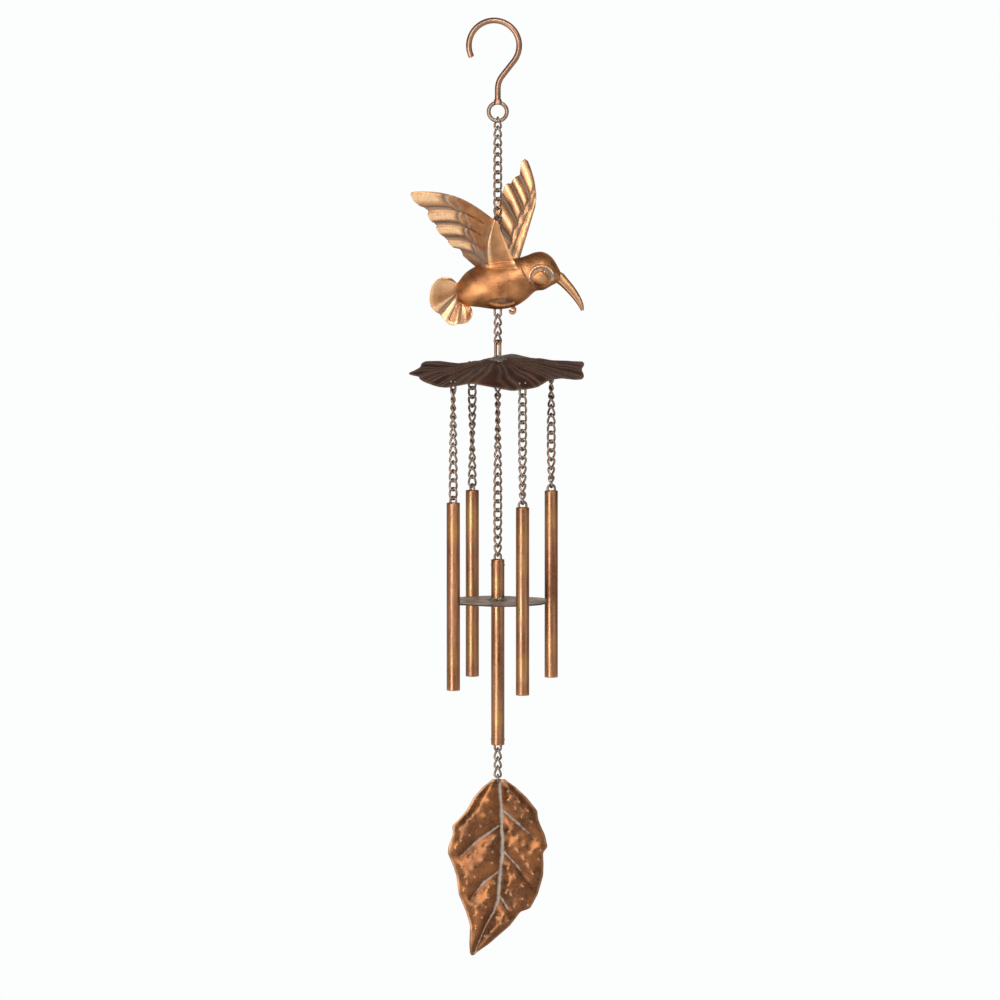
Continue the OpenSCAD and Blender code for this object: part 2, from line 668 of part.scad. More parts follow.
hook_rod();
hook_ring();
upper_chain();
bird_body_near();
bird_body_far();
bird_wing_near();
bird_wing_far();
bird_tail();
bird_beak();
bird_feet();
bird_back_staple();
bird_belly_eye();
lower_chain();
canopy_leaf();
canopy_loop();
canopy_eyes();
tube_chain_1();
tube_chain_2();
tube_chain_3();
tube_chain_4();
chime_tube_1();
chime_tube_2();
chime_tube_3();
chime_tube_4();
tube_bail_1();
tube_bail_2();
tube_bail_3();
tube_bail_4();
striker_chain();
striker_tube();
striker_disc();
striker_solder();
striker_bail_top();
striker_bail_bottom();
sail_chain();
sail_leaf();
sail_ring();
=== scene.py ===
"""Looks of a garden wind chime: stamped copper bird, leaf canopy, tubes, striker and leaf sail."""

import json
import math

import bpy
import numpy as np
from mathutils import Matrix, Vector


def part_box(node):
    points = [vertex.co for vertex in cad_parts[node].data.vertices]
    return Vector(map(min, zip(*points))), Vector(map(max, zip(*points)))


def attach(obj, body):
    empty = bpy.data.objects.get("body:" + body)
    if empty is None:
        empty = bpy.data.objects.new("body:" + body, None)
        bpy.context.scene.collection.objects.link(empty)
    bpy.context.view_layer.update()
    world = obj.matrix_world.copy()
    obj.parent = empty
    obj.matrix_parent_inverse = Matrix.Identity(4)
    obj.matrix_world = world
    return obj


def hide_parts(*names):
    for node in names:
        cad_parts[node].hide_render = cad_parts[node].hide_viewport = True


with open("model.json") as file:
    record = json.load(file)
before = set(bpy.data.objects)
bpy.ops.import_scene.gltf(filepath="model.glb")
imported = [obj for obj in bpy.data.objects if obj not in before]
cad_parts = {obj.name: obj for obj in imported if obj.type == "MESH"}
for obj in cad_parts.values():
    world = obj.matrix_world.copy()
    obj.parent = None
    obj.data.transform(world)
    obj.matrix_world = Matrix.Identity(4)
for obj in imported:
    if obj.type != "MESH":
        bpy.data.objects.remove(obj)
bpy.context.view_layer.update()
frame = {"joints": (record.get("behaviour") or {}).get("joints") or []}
MM = 0.001
JOINT_AT = {j["name"]: np.array(j["pos_m"]) / MM for j in frame["joints"]}

bl_info = {
    "name": "Garden wind chime",
    "version": (1, 0, 0),
    "blender": (4, 5, 0),
    "location": "View3D > Sidebar > Chime",
    "description": "Builds the copper bird wind chime piece by piece",
    "category": "Add Mesh",
}


def linear(code):
    """Turns an sRGB hex value into linear red, green and blue."""
    parts = [int(code[i : i + 2], 16) / 255 for i in (1, 3, 5)]
    return tuple(c / 12.92 if c <= 0.04045 else ((c + 0.055) / 1.055) ** 2.4 for c in parts)


class ChimeSizes(bpy.types.PropertyGroup):
    """Sizes of the repeated and drawn parts."""

    link_wire: bpy.props.FloatProperty(
        name="Link wire", description="Wire of the chain links", default=1.7 * MM, unit="LENGTH", precision=5
    )
    link_width: bpy.props.FloatProperty(
        name="Link width", description="Outer width of a link", default=6.9 * MM, unit="LENGTH", precision=5
    )
    link_pitch: bpy.props.FloatProperty(
        name="Link pitch", description="Length that a link adds", default=6.7 * MM, unit="LENGTH", precision=5
    )
    link_play: bpy.props.FloatProperty(
        name="Link play", description="Play between two links", default=0.25 * MM, unit="LENGTH", precision=5
    )
    tube_d: bpy.props.FloatProperty(
        name="Tube diameter", description="Outer diameter of the tubes", default=10.0 * MM, unit="LENGTH", precision=5
    )
    tube_wall: bpy.props.FloatProperty(
        name="Tube wall", description="Wall of the tubes", default=0.9 * MM, unit="LENGTH", precision=5
    )
    eye_wire: bpy.props.FloatProperty(
        name="Eye wire", description="Wire of eyes and bails", default=1.8 * MM, unit="LENGTH", precision=5
    )
    nail_r: bpy.props.FloatProperty(
        name="Nail radius",
        description="Radius of the sail's raised nails",
        default=0.9 * MM,
        unit="LENGTH",
        precision=5,
    )
    nail_h: bpy.props.FloatProperty(
        name="Nail height", description="Height of a nail's head", default=0.6 * MM, unit="LENGTH", precision=5
    )


class ChimeColours(bpy.types.PropertyGroup):
    """Colours of the finishes."""

    copper: bpy.props.FloatVectorProperty(
        name="Copper", description="Lacquered copper", subtype="COLOR", default=linear("#B77A47")
    )
    copper_dark: bpy.props.FloatVectorProperty(
        name="Dark copper",
        description="Copper where the stain stayed",
        subtype="COLOR",
        default=linear("#824E2A"),
    )
    # Also the colour of the painted highlights on the stamped copper
    rubbed_copper_and_highlight: bpy.props.FloatVectorProperty(
        name="Rubbed copper",
        description="Copper rubbed bright on high edges",
        subtype="COLOR",
        default=linear("#F4CDA0"),
    )
    copper_deep: bpy.props.FloatVectorProperty(
        name="Deep copper", description="Copper of the sail", subtype="COLOR", default=linear("#89532D")
    )
    copper_deep_dark: bpy.props.FloatVectorProperty(
        name="Deep dark copper",
        description="Sail where the stain stayed",
        subtype="COLOR",
        default=linear("#603820"),
    )
    tube: bpy.props.FloatVectorProperty(
        name="Tube", description="Drawn copper of the tubes", subtype="COLOR", default=linear("#AF7B56")
    )
    tube_dark: bpy.props.FloatVectorProperty(
        name="Dark tube",
        description="Drawn copper where the stain stayed",
        subtype="COLOR",
        default=linear("#774C33"),
    )
    tube_heat: bpy.props.FloatVectorProperty(
        name="Tube end",
        description="Red brown that heat left on a tube's ends",
        subtype="COLOR",
        default=linear("#723726"),
    )
    tube_straw: bpy.props.FloatVectorProperty(
        name="Tube straw",
        description="Straw yellow that heat left next to the ends",
        subtype="COLOR",
        default=linear("#BF9152"),
    )
    patina: bpy.props.FloatVectorProperty(
        name="Patina",
        description="Grey stain left in the grooves",
        subtype="COLOR",
        default=linear("#7E6858"),
    )
    patina_pale: bpy.props.FloatVectorProperty(
        name="Pale patina",
        description="Grey stain in the sail's veins",
        subtype="COLOR",
        default=linear("#91877C"),
    )
    chain: bpy.props.FloatVectorProperty(
        name="Chain", description="Darkened chain wire", subtype="COLOR", default=linear("#807368")
    )
    bronze: bpy.props.FloatVectorProperty(
        name="Bronze", description="Dark bronze of the canopy", subtype="COLOR", default=linear("#4C3228")
    )
    disc: bpy.props.FloatVectorProperty(
        name="Disc", description="Grey brown of the striking disc", subtype="COLOR", default=linear("#B4A496")
    )
    solder: bpy.props.FloatVectorProperty(
        name="Solder", description="Soft solder", subtype="COLOR", default=linear("#9C9B8E")
    )
    backdrop: bpy.props.FloatVectorProperty(
        name="Backdrop",
        description="Paper of the floor and white of the studio",
        subtype="COLOR",
        default=linear("#FCFDFD"),
    )


def size(key):
    """One of the sizes, in millimetres."""
    return getattr(bpy.context.scene.chime_sizes, key) / MM


def tint(key, share=1.0):
    """One of the colours with full alpha, or a share of its brightness."""
    return (*(share * v for v in getattr(bpy.context.scene.chime_colours, key)), 1.0)


# Materials

# Settings that every mix of colours and every soft ramp share
COLOUR_MIX = {"data_type": "RGBA"}
SOFT_RAMP = {"interpolation_type": "SMOOTHSTEP"}
# Stained metal stays dark where it turns away from the eye
EDGE_TINT = (0.42, 0.34, 0.28, 1.0)


def add(tree, kind, inputs=None, **settings):
    """Adds a node, with its settings, and sets or links its inputs by name or number."""
    node = tree.nodes.new(kind)
    for key, value in settings.items():
        setattr(node, key, value)
    for key, value in (inputs or {}).items():
        if isinstance(value, bpy.types.NodeSocket):
            tree.links.new(value, node.inputs[key])
        else:
            node.inputs[key].default_value = value
    return node


def new_material(name):
    """The material of that name, with an empty tree if it is new and None if it is finished."""
    material = bpy.data.materials.get(name)
    if material:
        return material, None
    material = bpy.data.materials.new(name)
    material.use_nodes = True
    material.node_tree.nodes.clear()
    return material, material.node_tree


def finish_metal(tree, colour, layers, metallic, roughness, height, depth_mm, coat=0.0, coat_rough=0.24):
    """Closes a metal's tree: layers of colour over the first one, bump, shader, clear lacquer and output."""
    for amount, over in layers:
        colour = add(tree, "ShaderNodeMix", {0: amount, 6: colour, 7: over}, **COLOUR_MIX).outputs[2]
    bump = add(tree, "ShaderNodeBump", {"Height": height, "Distance": depth_mm * MM, "Strength": 1.0})
    shader = add(
        tree,
        "ShaderNodeBsdfPrincipled",
        {
            "Base Color": colour,
            "Metallic": metallic,
            "Roughness": roughness,
            "Normal": bump.outputs[0],
            "Coat Weight": coat,
            "Coat Roughness": coat_rough,
            "Specular Tint": EDGE_TINT,
        },
    )
    add(tree, "ShaderNodeOutputMaterial", {0: shader.outputs[0]})


def stamped_copper(deep=False):
    """Stamped steel sheet, copper plated, stained and rubbed back: warm satin, grey in the grooves.

    The deep stain is the sail's: redder and darker, so that its raised nails catch the eye.
    """
    material, tree = new_material("stamped_copper_deep_stain" if deep else "stamped_copper_satin_lacquer")
    if tree is None:
        return material
    if deep:
        clean, stained, grey = "copper_deep", "copper_deep_dark", "patina_pale"
        cloudy, blotch, glint, gloss, depth_mm, coat = 4.0, 0.4, 0.08, (0.33, 0.47), 0.08, 0.08
    else:
        clean, stained, grey = "copper", "copper_dark", "patina"
        cloudy, blotch, glint, gloss, depth_mm, coat = 1.5, 0.2, 0.12, (0.4, 0.54), 0.045, 0.14
    place = add(tree, "ShaderNodeTexCoord").outputs["Object"]
    patina, rub, punch, pool = (
        add(tree, "ShaderNodeAttribute", attribute_name=name).outputs["Fac"]
        for name in ("patina", "rub", "punch", "pool")
    )
    # Clouds of stain about 14 mm wide, grain about 1.1 mm, spots about 3.2 mm
    cloud, grain, spot = (
        add(tree, "ShaderNodeTexNoise", {"Vector": place, "Scale": 1 / (mm * MM), "Detail": detail}).outputs[0]
        for mm, detail in ((14, cloudy), (1.1, 3.0), (3.2, 2.0))
    )
    # Punch marks about 0.9 mm wide and 2.3 mm apart, on the breast and the neck
    pattern = {"Vector": place, "Scale": 1 / (2.3 * MM), "Randomness": 0.7}
    marks = add(tree, "ShaderNodeTexVoronoi", pattern).outputs[0]
    fresh, spotted, grainy, bared, held, dots, satin = (
        add(tree, "ShaderNodeMapRange", dict(enumerate(values)), **SOFT_RAMP).outputs[0]
        for values in (
            (cloud, 0.36, 0.66),
            (spot, 0.6, 0.75, 0.0, blotch),
            (grain, 0.35, 0.7, 0.0, glint),
            (grain, 0.25, 0.6, 0.55, 0.9),
            (spot, 0.3, 0.65, 1.2, 0.75),
            (marks, 0.18, 0.3, 1.0, 0.0),
            (grain, 0.3, 0.7, *gloss),
        )
    )
    mark = add(tree, "ShaderNodeMath", {0: punch, 1: dots}, operation="MULTIPLY").outputs[0]
    bright = add(tree, "ShaderNodeMath", {0: rub, 1: bared}, operation="MULTIPLY").outputs[0]
    worn = add(tree, "ShaderNodeMath", {0: patina, 1: held, 2: mark}, operation="MULTIPLY_ADD").outputs[0]
    stain = add(tree, "ShaderNodeMapRange", {0: worn, 1: 0.2, 2: 0.8}, **SOFT_RAMP).outputs[0]
    # Stained places are less metallic and duller
    metallic, dull = (
        add(tree, "ShaderNodeMapRange", {0: stain, 3: bare, 4: covered}, **SOFT_RAMP).outputs[0]
        for bare, covered in ((0.88, 0.3), (0.0, 0.22))
    )
    rough = add(tree, "ShaderNodeMath", {0: satin, 1: dull}).outputs[0]
    uneven = add(tree, "ShaderNodeMath", {0: grain, 1: 0.25, 2: spot}, operation="MULTIPLY_ADD").outputs[0]
    height = add(tree, "ShaderNodeMath", {0: mark, 1: -2.0, 2: uneven}, operation="MULTIPLY_ADD").outputs[0]
    layers = (
        (fresh, tint(clean)),
        (spotted, tint(stained)),
        (grainy, tint("rubbed_copper_and_highlight")),
        # Stain that ran into the hollows beside veins and folds, with painted shade: a darker copy of the stained
        # copper, also on the beak's underside
        (pool, tint(stained, 0.55)),
        # Rubbed high edges, and painted highlights, in pale copper
        (bright, tint("rubbed_copper_and_highlight")),
        (stain, tint(grey)),
    )
    finish_metal(tree, tint(stained), layers, metallic, rough, height, depth_mm, coat, coat_rough=0.36)
    return material


def drawn_copper(rod=False):
    """Drawn steel tube and rod, copper plated: long soft streaks along the draw, darker spots of stain.

    Rod is bent after plating, so it keeps more of the stain.
    """
    material, tree = new_material("drawn_copper_rod_stained" if rod else "drawn_copper_satin_lacquer")
    if tree is None:
        return material
    # Streaks about 2.5 mm wide and 50 mm long on tube, and even patches of 14 mm on the bent rod
    if rod:
        wide, tall, streaky, spotty, clean, glint, depth_mm = 14, 14, 1.0, 2.0, 0.35, 0.06, 0.006
    else:
        wide, tall, streaky, spotty, clean, glint, depth_mm = 2.5, 50, 3.0, 5.0, 1.0, 0.12, 0.012
    place = add(tree, "ShaderNodeTexCoord").outputs["Object"]
    # The second pattern is the bands, about 25 mm long, that heat left down the tube
    drawn = []
    for across, down, detail in ((wide, tall, streaky), (40, 25, 2.0)):
        scale = (1 / (across * MM), 1 / (across * MM), 1 / (down * MM))
        long = add(tree, "ShaderNodeMapping", {"Vector": place, "Scale": scale}).outputs[0]
        drawn.append(add(tree, "ShaderNodeTexNoise", {"Vector": long, "Scale": 1.0, "Detail": detail}).outputs[0])
    streak, band = drawn
    # Spots about 9 mm wide, grain about 0.9 mm
    spot, grain = (
        add(tree, "ShaderNodeTexNoise", {"Vector": place, "Scale": 1 / (mm * MM), "Detail": detail}).outputs[0]
        for mm, detail in ((9, spotty), (0.9, 2.0))
    )
    streaked, spotted, grainy, straw, heat, satin, dull = (
        add(tree, "ShaderNodeMapRange", dict(enumerate(values)), **SOFT_RAMP).outputs[0]
        for values in (
            (streak, 0.3, 0.7, 0.0, clean),
            (spot, 0.55, 0.75, 0.0, 0.4),
            (grain, 0.4, 0.75, 0.0, glint),
            (band, 0.52, 0.7, 0.0, 0.2),
            (band, 0.48, 0.3, 0.0, 0.3),
            (spot, 0.3, 0.7, 0.28, 0.4),
            (grain, 0.3, 0.7, 0.0, 0.06),
        )
    )
    layers = [(streaked, tint("tube")), (spotted, tint("tube_dark")), (grainy, tint("rubbed_copper_and_highlight"))]
    # The rod's plating is worn, so that the grey of its steel shows through
    if rod:
        layers.append((0.18, tint("disc")))
    # Heat colours: the straw and the red of a tube's ends, and their bands
    for name, bands in (("straw", straw), ("heat", heat)):
        end = add(tree, "ShaderNodeAttribute", attribute_name=name).outputs["Fac"]
        amount = add(tree, "ShaderNodeMath", {0: end, 1: bands}, use_clamp=True).outputs[0]
        layers.append((amount, tint("tube_" + name)))
    rough = add(tree, "ShaderNodeMath", {0: satin, 1: dull}).outputs[0]
    finish_metal(tree, tint("tube_dark"), layers, 0.9, rough, grain, depth_mm, coat=0.3)
    return material


def darkened_wire():
    """Steel wire, copper plated and darkened: brown grey, with copper showing where the links wear on each other."""
    material, tree = new_material("darkened_copper_wire")
    if tree is None:
        return material
    place = add(tree, "ShaderNodeTexCoord").outputs["Object"]
    # Stain in patches about 3 mm long, grain about 0.6 mm
    patch, grain = (
        add(tree, "ShaderNodeTexNoise", {"Vector": place, "Scale": 1 / (mm * MM), "Detail": detail}).outputs[0]
        for mm, detail in ((3, 4.0), (0.6, 2.0))
    )
    patched, grainy, rough = (
        add(tree, "ShaderNodeMapRange", dict(enumerate(values)), **SOFT_RAMP).outputs[0]
        for values in (
            (patch, 0.45, 0.75),
            (grain, 0.5, 0.8, 0.0, 0.35),
            (patch, 0.3, 0.7, 0.34, 0.5),
        )
    )
    layers = ((patched, tint("copper_dark")), (grainy, tint("rubbed_copper_and_highlight")))
    finish_metal(tree, tint("chain"), layers, 0.85, rough, grain, 0.03)
    return material


def dark_bronze():
    """Stamped sheet, bronze plated and darkened: chocolate brown, semi-matt, paler on the ridges and the edge, where
    sheen and a highlight are painted.
    """
    material, tree = new_material("dark_bronze_semi_matt")
    if tree is None:
        return material
    place = add(tree, "ShaderNodeTexCoord").outputs["Object"]
    patina, rub = (
        add(tree, "ShaderNodeAttribute", attribute_name=name).outputs["Fac"] for name in ("patina", "rub")
    )
    # Clouds about 10 mm wide, grain about 1 mm
    cloud, grain = (
        add(tree, "ShaderNodeTexNoise", {"Vector": place, "Scale": 1 / (mm * MM), "Detail": detail}).outputs[0]
        for mm, detail in ((10, 4.0), (1, 3.0))
    )
    fresh, stain, bared, rough = (
        add(tree, "ShaderNodeMapRange", dict(enumerate(values)), **SOFT_RAMP).outputs[0]
        for values in (
            (cloud, 0.35, 0.65),
            (patina, 0.2, 0.9, 0.0, 0.6),
            (grain, 0.3, 0.65, 0.2, 0.75),
            (grain, 0.3, 0.7, 0.42, 0.58),
        )
    )
    bright = add(tree, "ShaderNodeMath", {0: rub, 1: bared}, operation="MULTIPLY").outputs[0]
    # Pale grey, a tenth brighter than the patina, paints the sheen and the highlight
    layers = ((fresh, tint("bronze")), (stain, tint("bronze", 0.4)), (bright, tint("patina", 1.1)))
    finish_metal(tree, tint("bronze", 0.55), layers, 0.55, rough, grain, 0.035)
    return material


def disc_bronze():
    """Flat plate, darkened and handled: grey brown with smears, and painted shade on its rim."""
    material, tree = new_material("darkened_plate_smeared")
    if tree is None:
        return material
    place = add(tree, "ShaderNodeTexCoord").outputs["Object"]
    rim = add(tree, "ShaderNodeAttribute", attribute_name="rim").outputs["Fac"]
    # Smears about 9 mm wide, grain about 1 mm
    smear, grain = (
        add(tree, "ShaderNodeTexNoise", {"Vector": place, "Scale": 1 / (mm * MM), "Detail": detail}).outputs[0]
        for mm, detail in ((9, 5.0), (1, 2.0))
    )
    wiped, bared, rough = (
        add(tree, "ShaderNodeMapRange", dict(enumerate(values)), **SOFT_RAMP).outputs[0]
        for values in (
            (smear, 0.38, 0.64),
            (smear, 0.62, 0.75, 0.0, 0.5),
            (grain, 0.3, 0.7, 0.4, 0.58),
        )
    )
    # Dark bronze on the rim is painted shade along the disc's edge
    layers = ((wiped, tint("disc")), (bared, tint("copper")), (rim, tint("bronze")))
    finish_metal(tree, tint("disc", 0.5), layers, 0.6, rough, smear, 0.25)
    return material


def soft_solder():
    """Soft solder: dull silver grey, lumpy, with dark flux in its hollows."""
    material, tree = new_material("soft_solder")
    if tree is None:
        return material
    place = add(tree, "ShaderNodeTexCoord").outputs["Object"]
    # Lumps about 1.6 mm wide
    pattern = {"Vector": place, "Scale": 1 / (1.6 * MM), "Detail": 3.0}
    lump = add(tree, "ShaderNodeTexNoise", pattern).outputs[0]
    raised, rough = (
        add(tree, "ShaderNodeMapRange", dict(enumerate(values)), **SOFT_RAMP).outputs[0]
        for values in ((lump, 0.35, 0.62), (lump, 0.3, 0.7, 0.5, 0.32))
    )
    finish_metal(tree, tint("solder", 0.35), ((raised, tint("solder")),), 0.8, rough, lump, 0.4)
    return material


# Meshes

# Farther than any two places on a piece, and shorter than any edge
FAR_OFF, TINY = 1e9, 1e-9
# Edges that turn by more than this many degrees stay sharp
CREASE = 55


def place_piece(name, points, faces, material, body, replaced=(), slot=None, attributes=None):
    """Makes a finished piece from millimetre points, on its body, in place of CAD nodes."""
    mesh = bpy.data.meshes.new(name)
    mesh.from_pydata((np.asarray(points, float) * MM).tolist(), [], faces)
    mesh.validate()
    mesh.shade_smooth()
    mesh.set_sharp_from_angle(angle=math.radians(CREASE))
    for key, values in (attributes or {}).items():
        data = mesh.attributes.new(key, "FLOAT", "POINT")
        data.data.foreach_set("value", np.asarray(values, np.float32))
    mesh.materials.append(material)
    piece = bpy.data.objects.new(name, mesh)
    bpy.context.scene.collection.objects.link(piece)
    settle(piece, body, replaced)


def settle(piece, body, replaced=()):
    """Puts a piece on its body, with the CAD nodes that it stands for."""
    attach(piece, body)
    if replaced:
        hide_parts(*replaced)


def join(parts):
    """Joins lists of points and faces into one."""
    points, faces = [], []
    for p, f in parts:
        faces += [tuple(i + len(points) for i in face) for face in f]
        points += list(p)
    return points, faces


# A wire's rounded end: shares of its radius and of the cap's height, from the wire out
CAP_ROWS, CAP_HEIGHT = ((0.97, 0.35), (0.82, 0.8), (0.45, 1.0)), 0.35


def skin(rings, sides, closed=False):
    """Faces round rings of points, with a flat face at both ends, or closed on itself."""
    faces = []
    for i in range(rings if closed else rings - 1):
        for j in range(sides):
            k, m = (j + 1) % sides, (i + 1) % rings
            faces.append((i * sides + j, i * sides + k, m * sides + k, m * sides + j))
    if not closed:
        faces += [tuple(range(sides))[::-1], tuple(range((rings - 1) * sides, rings * sides))]
    return faces


def wire(path, radius, closed=False, sides=14):
    """A round wire along a path of points, with rounded ends, or closed on itself."""
    path = np.asarray(path, float)
    radius = np.broadcast_to(np.asarray(radius, float), len(path))
    if closed:
        along = np.roll(path, -1, 0) - np.roll(path, 1, 0)
    else:
        caps = []
        for end, inner in ((0, 1), (-1, -2)):
            way = path[end] - path[inner]
            way /= np.linalg.norm(way)
            r = radius[end]
            caps.append([(path[end] + way * r * b * CAP_HEIGHT, r * a) for a, b in CAP_ROWS])
        first, last = caps[0][::-1], caps[1]
        path = np.vstack([[p for p, _ in first], path, [p for p, _ in last]])
        radius = np.concatenate([[r for _, r in first], radius, [r for _, r in last]])
        along = np.gradient(path, axis=0)
    along /= np.linalg.norm(along, axis=1)[:, None]
    side = np.cross(along[0], [0.3, 1.0, 0.2])
    turn = 2 * math.pi * np.arange(sides)[:, None] / sides
    points = []
    for centre, way, r in zip(path, along, radius):
        side = side - way * side.dot(way)
        side /= np.linalg.norm(side)
        points += list(centre + r * (side * np.cos(turn) + np.cross(way, side) * np.sin(turn)))
    return points, skin(len(path), sides, closed)


def arc(centre, r, start, stop, n=24):
    """Points of an arc in the XZ plane, in degrees."""
    t = np.radians(np.linspace(start, stop, n))
    return np.stack([centre[0] + r * np.cos(t), 0 * t, centre[1] + r * np.sin(t)], 1)


def turned(points, degrees, at=(0, 0, 0)):
    """Points turned round the Z axis and moved."""
    a = math.radians(degrees)
    x, y, z = np.asarray(points, float).T
    ahead, aside = x * math.cos(a) - y * math.sin(a), x * math.sin(a) + y * math.cos(a)
    return np.stack([ahead, aside, z], 1) + np.asarray(at, float)


def smooth_rows(rows, t):
    """Smooth curve through evenly counted rows, t from 0 to 1."""
    rows = np.asarray(rows, float)
    n = len(rows)
    s = np.clip(t, 0, 1) * (n - 1)
    i = np.minimum(s.astype(int), n - 2)
    f = (s - i)[..., None]
    a, b, c, d = (rows[np.clip(i + k, 0, n - 1)] for k in (-1, 0, 1, 2))
    return b + 0.5 * f * ((c - a) + f * ((2 * a - 5 * b + 4 * c - d) + f * (3 * (b - c) + d - a)))


def smoothed(values, width, mode="edge"):
    """Rounds the corners of a row of values over a width counted in places."""
    reach = int(4 * width)
    weights = bell(np.arange(-reach, reach + 1) / (1.4 * width))
    return np.convolve(np.pad(values, reach, mode), weights / weights.sum(), "valid")


def step(x):
    """Smooth step from 0 to 1."""
    x = np.clip(x, 0, 1)
    return x * x * (3 - 2 * x)


def bell(x):
    """Bell curve, 1 in its middle."""
    return np.exp(-np.square(x))


def gap_to(points, x, z):
    """Distance of places in a plane from a broken line, with the share along it."""
    best = np.full(np.shape(x), FAR_OFF)
    share = np.zeros(np.shape(x))
    for k, (a, b) in enumerate(zip(points[:-1], points[1:])):
        dx, dz = b[0] - a[0], b[1] - a[1]
        t = np.clip(((x - a[0]) * dx + (z - a[1]) * dz) / (dx * dx + dz * dz), 0, 1)
        d = np.hypot(x - a[0] - t * dx, z - a[1] - t * dz)
        share = np.where(d < best, (k + t) / (len(points) - 1), share)
        best = np.minimum(best, d)
    return best, share


def normals(grid):
    """Unit normals of a grid of points."""
    n = np.cross(np.gradient(grid, axis=0), np.gradient(grid, axis=1))
    return n / np.maximum(np.linalg.norm(n, axis=2), TINY)[..., None]


def sheet(grid, thick, attributes, flip=False, back_share=0.0):
    """A stamped sheet from its outer face: the face, the face set back and a rounded rim."""
    nu, nv = grid.shape[:2]
    out = normals(grid) * (-1 if flip else 1)
    back = grid - thick * out
    at = np.arange(nu * nv).reshape(nu, nv)
    rim = [*at[:, 0], *at[-1, 1:], *at[-2::-1, -1], *at[0, -2:0:-1]]
    inner = [*at[:, 1], *at[-2, 1:], *at[-2::-1, -2], *at[1, -2:0:-1]]
    flat, set_back = grid.reshape(-1, 3), back.reshape(-1, 3)
    edge = flat[rim] - flat[inner]
    edge /= np.maximum(np.linalg.norm(edge, axis=1), TINY)[:, None]
    middle = (flat[rim] + set_back[rim]) / 2 + edge * thick * 0.35
    n, m = nu * nv, len(rim)
    q = np.stack([at[:-1, :-1], at[1:, :-1], at[1:, 1:], at[:-1, 1:]], -1).reshape(-1, 4)
    faces = [tuple(f) for f in q] + [tuple(f[::-1] + n) for f in q]
    for i in range(m):
        j = (i + 1) % m
        a, b, c, d = rim[i], rim[j], 2 * n + j, 2 * n + i
        faces += [(b, a, d, c), (a + n, b + n, c, d)]
    if flip:
        faces = [f[::-1] for f in faces]
    data = {}
    for key, values in attributes.items():
        v = values.reshape(-1)
        data[key] = np.concatenate([v, v * back_share, v[rim]])
    return np.vstack([flat, set_back, middle]), faces, data


def ring_sheet(grid, thick, attributes, open_middle=False):
    """A round sheet from its upper face, rows from the middle out and columns round it."""
    nr, na = grid.shape[:2]
    back = grid - np.array([0, 0, thick])
    edge = grid[-1] - grid[-2]
    edge /= np.linalg.norm(edge, axis=1)[:, None]
    middle = (grid[-1] + back[-1]) / 2 + edge * thick * 0.4
    n = nr * na
    at = np.arange(n).reshape(nr, na)
    faces = []
    for j in range(na):
        k = (j + 1) % na
        for i in range(nr - 1):
            f = (at[i, j], at[i + 1, j], at[i + 1, k], at[i, k])
            faces += [f, tuple(a + n for a in f[::-1])]
        a, b, c, d = at[-1, j], at[-1, k], 2 * n + k, 2 * n + j
        faces += [(b, a, d, c), (a + n, b + n, c, d)]
        if open_middle:
            faces.append((at[0, j], at[0, k], at[0, k] + n, at[0, j] + n))
    if not open_middle:
        faces += [tuple(at[0]), tuple((at[0] + n)[::-1])]
    data = {}
    for key, values in attributes.items():
        data[key] = np.concatenate([values.reshape(-1), 0 * values.reshape(-1), values[-1]])
    return np.vstack([grid.reshape(-1, 3), back.reshape(-1, 3), middle]), faces, data


# Geometry Nodes


def node_tree(name, sockets):
    """An empty tree with named inputs, and the identifier of each."""
    tree = bpy.data.node_groups.new(name, "GeometryNodeTree")
    tree.is_modifier = True
    ids = {}
    for label, kind in sockets:
        ids[label] = tree.interface.new_socket(name=label, in_out="INPUT", socket_type=kind).identifier
    tree.interface.new_socket(name="Geometry", in_out="OUTPUT", socket_type="NodeSocketGeometry")
    return tree, ids


def grow(name, tree, ids, values, base=None):
    """Runs a tree on a seed object and keeps the result as a plain mesh object at the origin."""
    seed = bpy.data.objects.new(name + "_seed", base or bpy.data.meshes.new(name + "_seed"))
    bpy.context.scene.collection.objects.link(seed)
    modifier = seed.modifiers.new("grow", "NODES")
    modifier.node_group = tree
    for label, value in values.items():
        modifier[ids[label]] = value
    seen = seed.evaluated_get(bpy.context.evaluated_depsgraph_get())
    mesh = bpy.data.meshes.new_from_object(seen)
    seed.modifiers.remove(modifier)
    bpy.data.objects.remove(seed)
    mesh.name = name
    if not len(mesh.polygons):
        raise RuntimeError(name + " came out empty")
    piece = bpy.data.objects.new(name, mesh)
    bpy.context.scene.collection.objects.link(piece)
    return piece


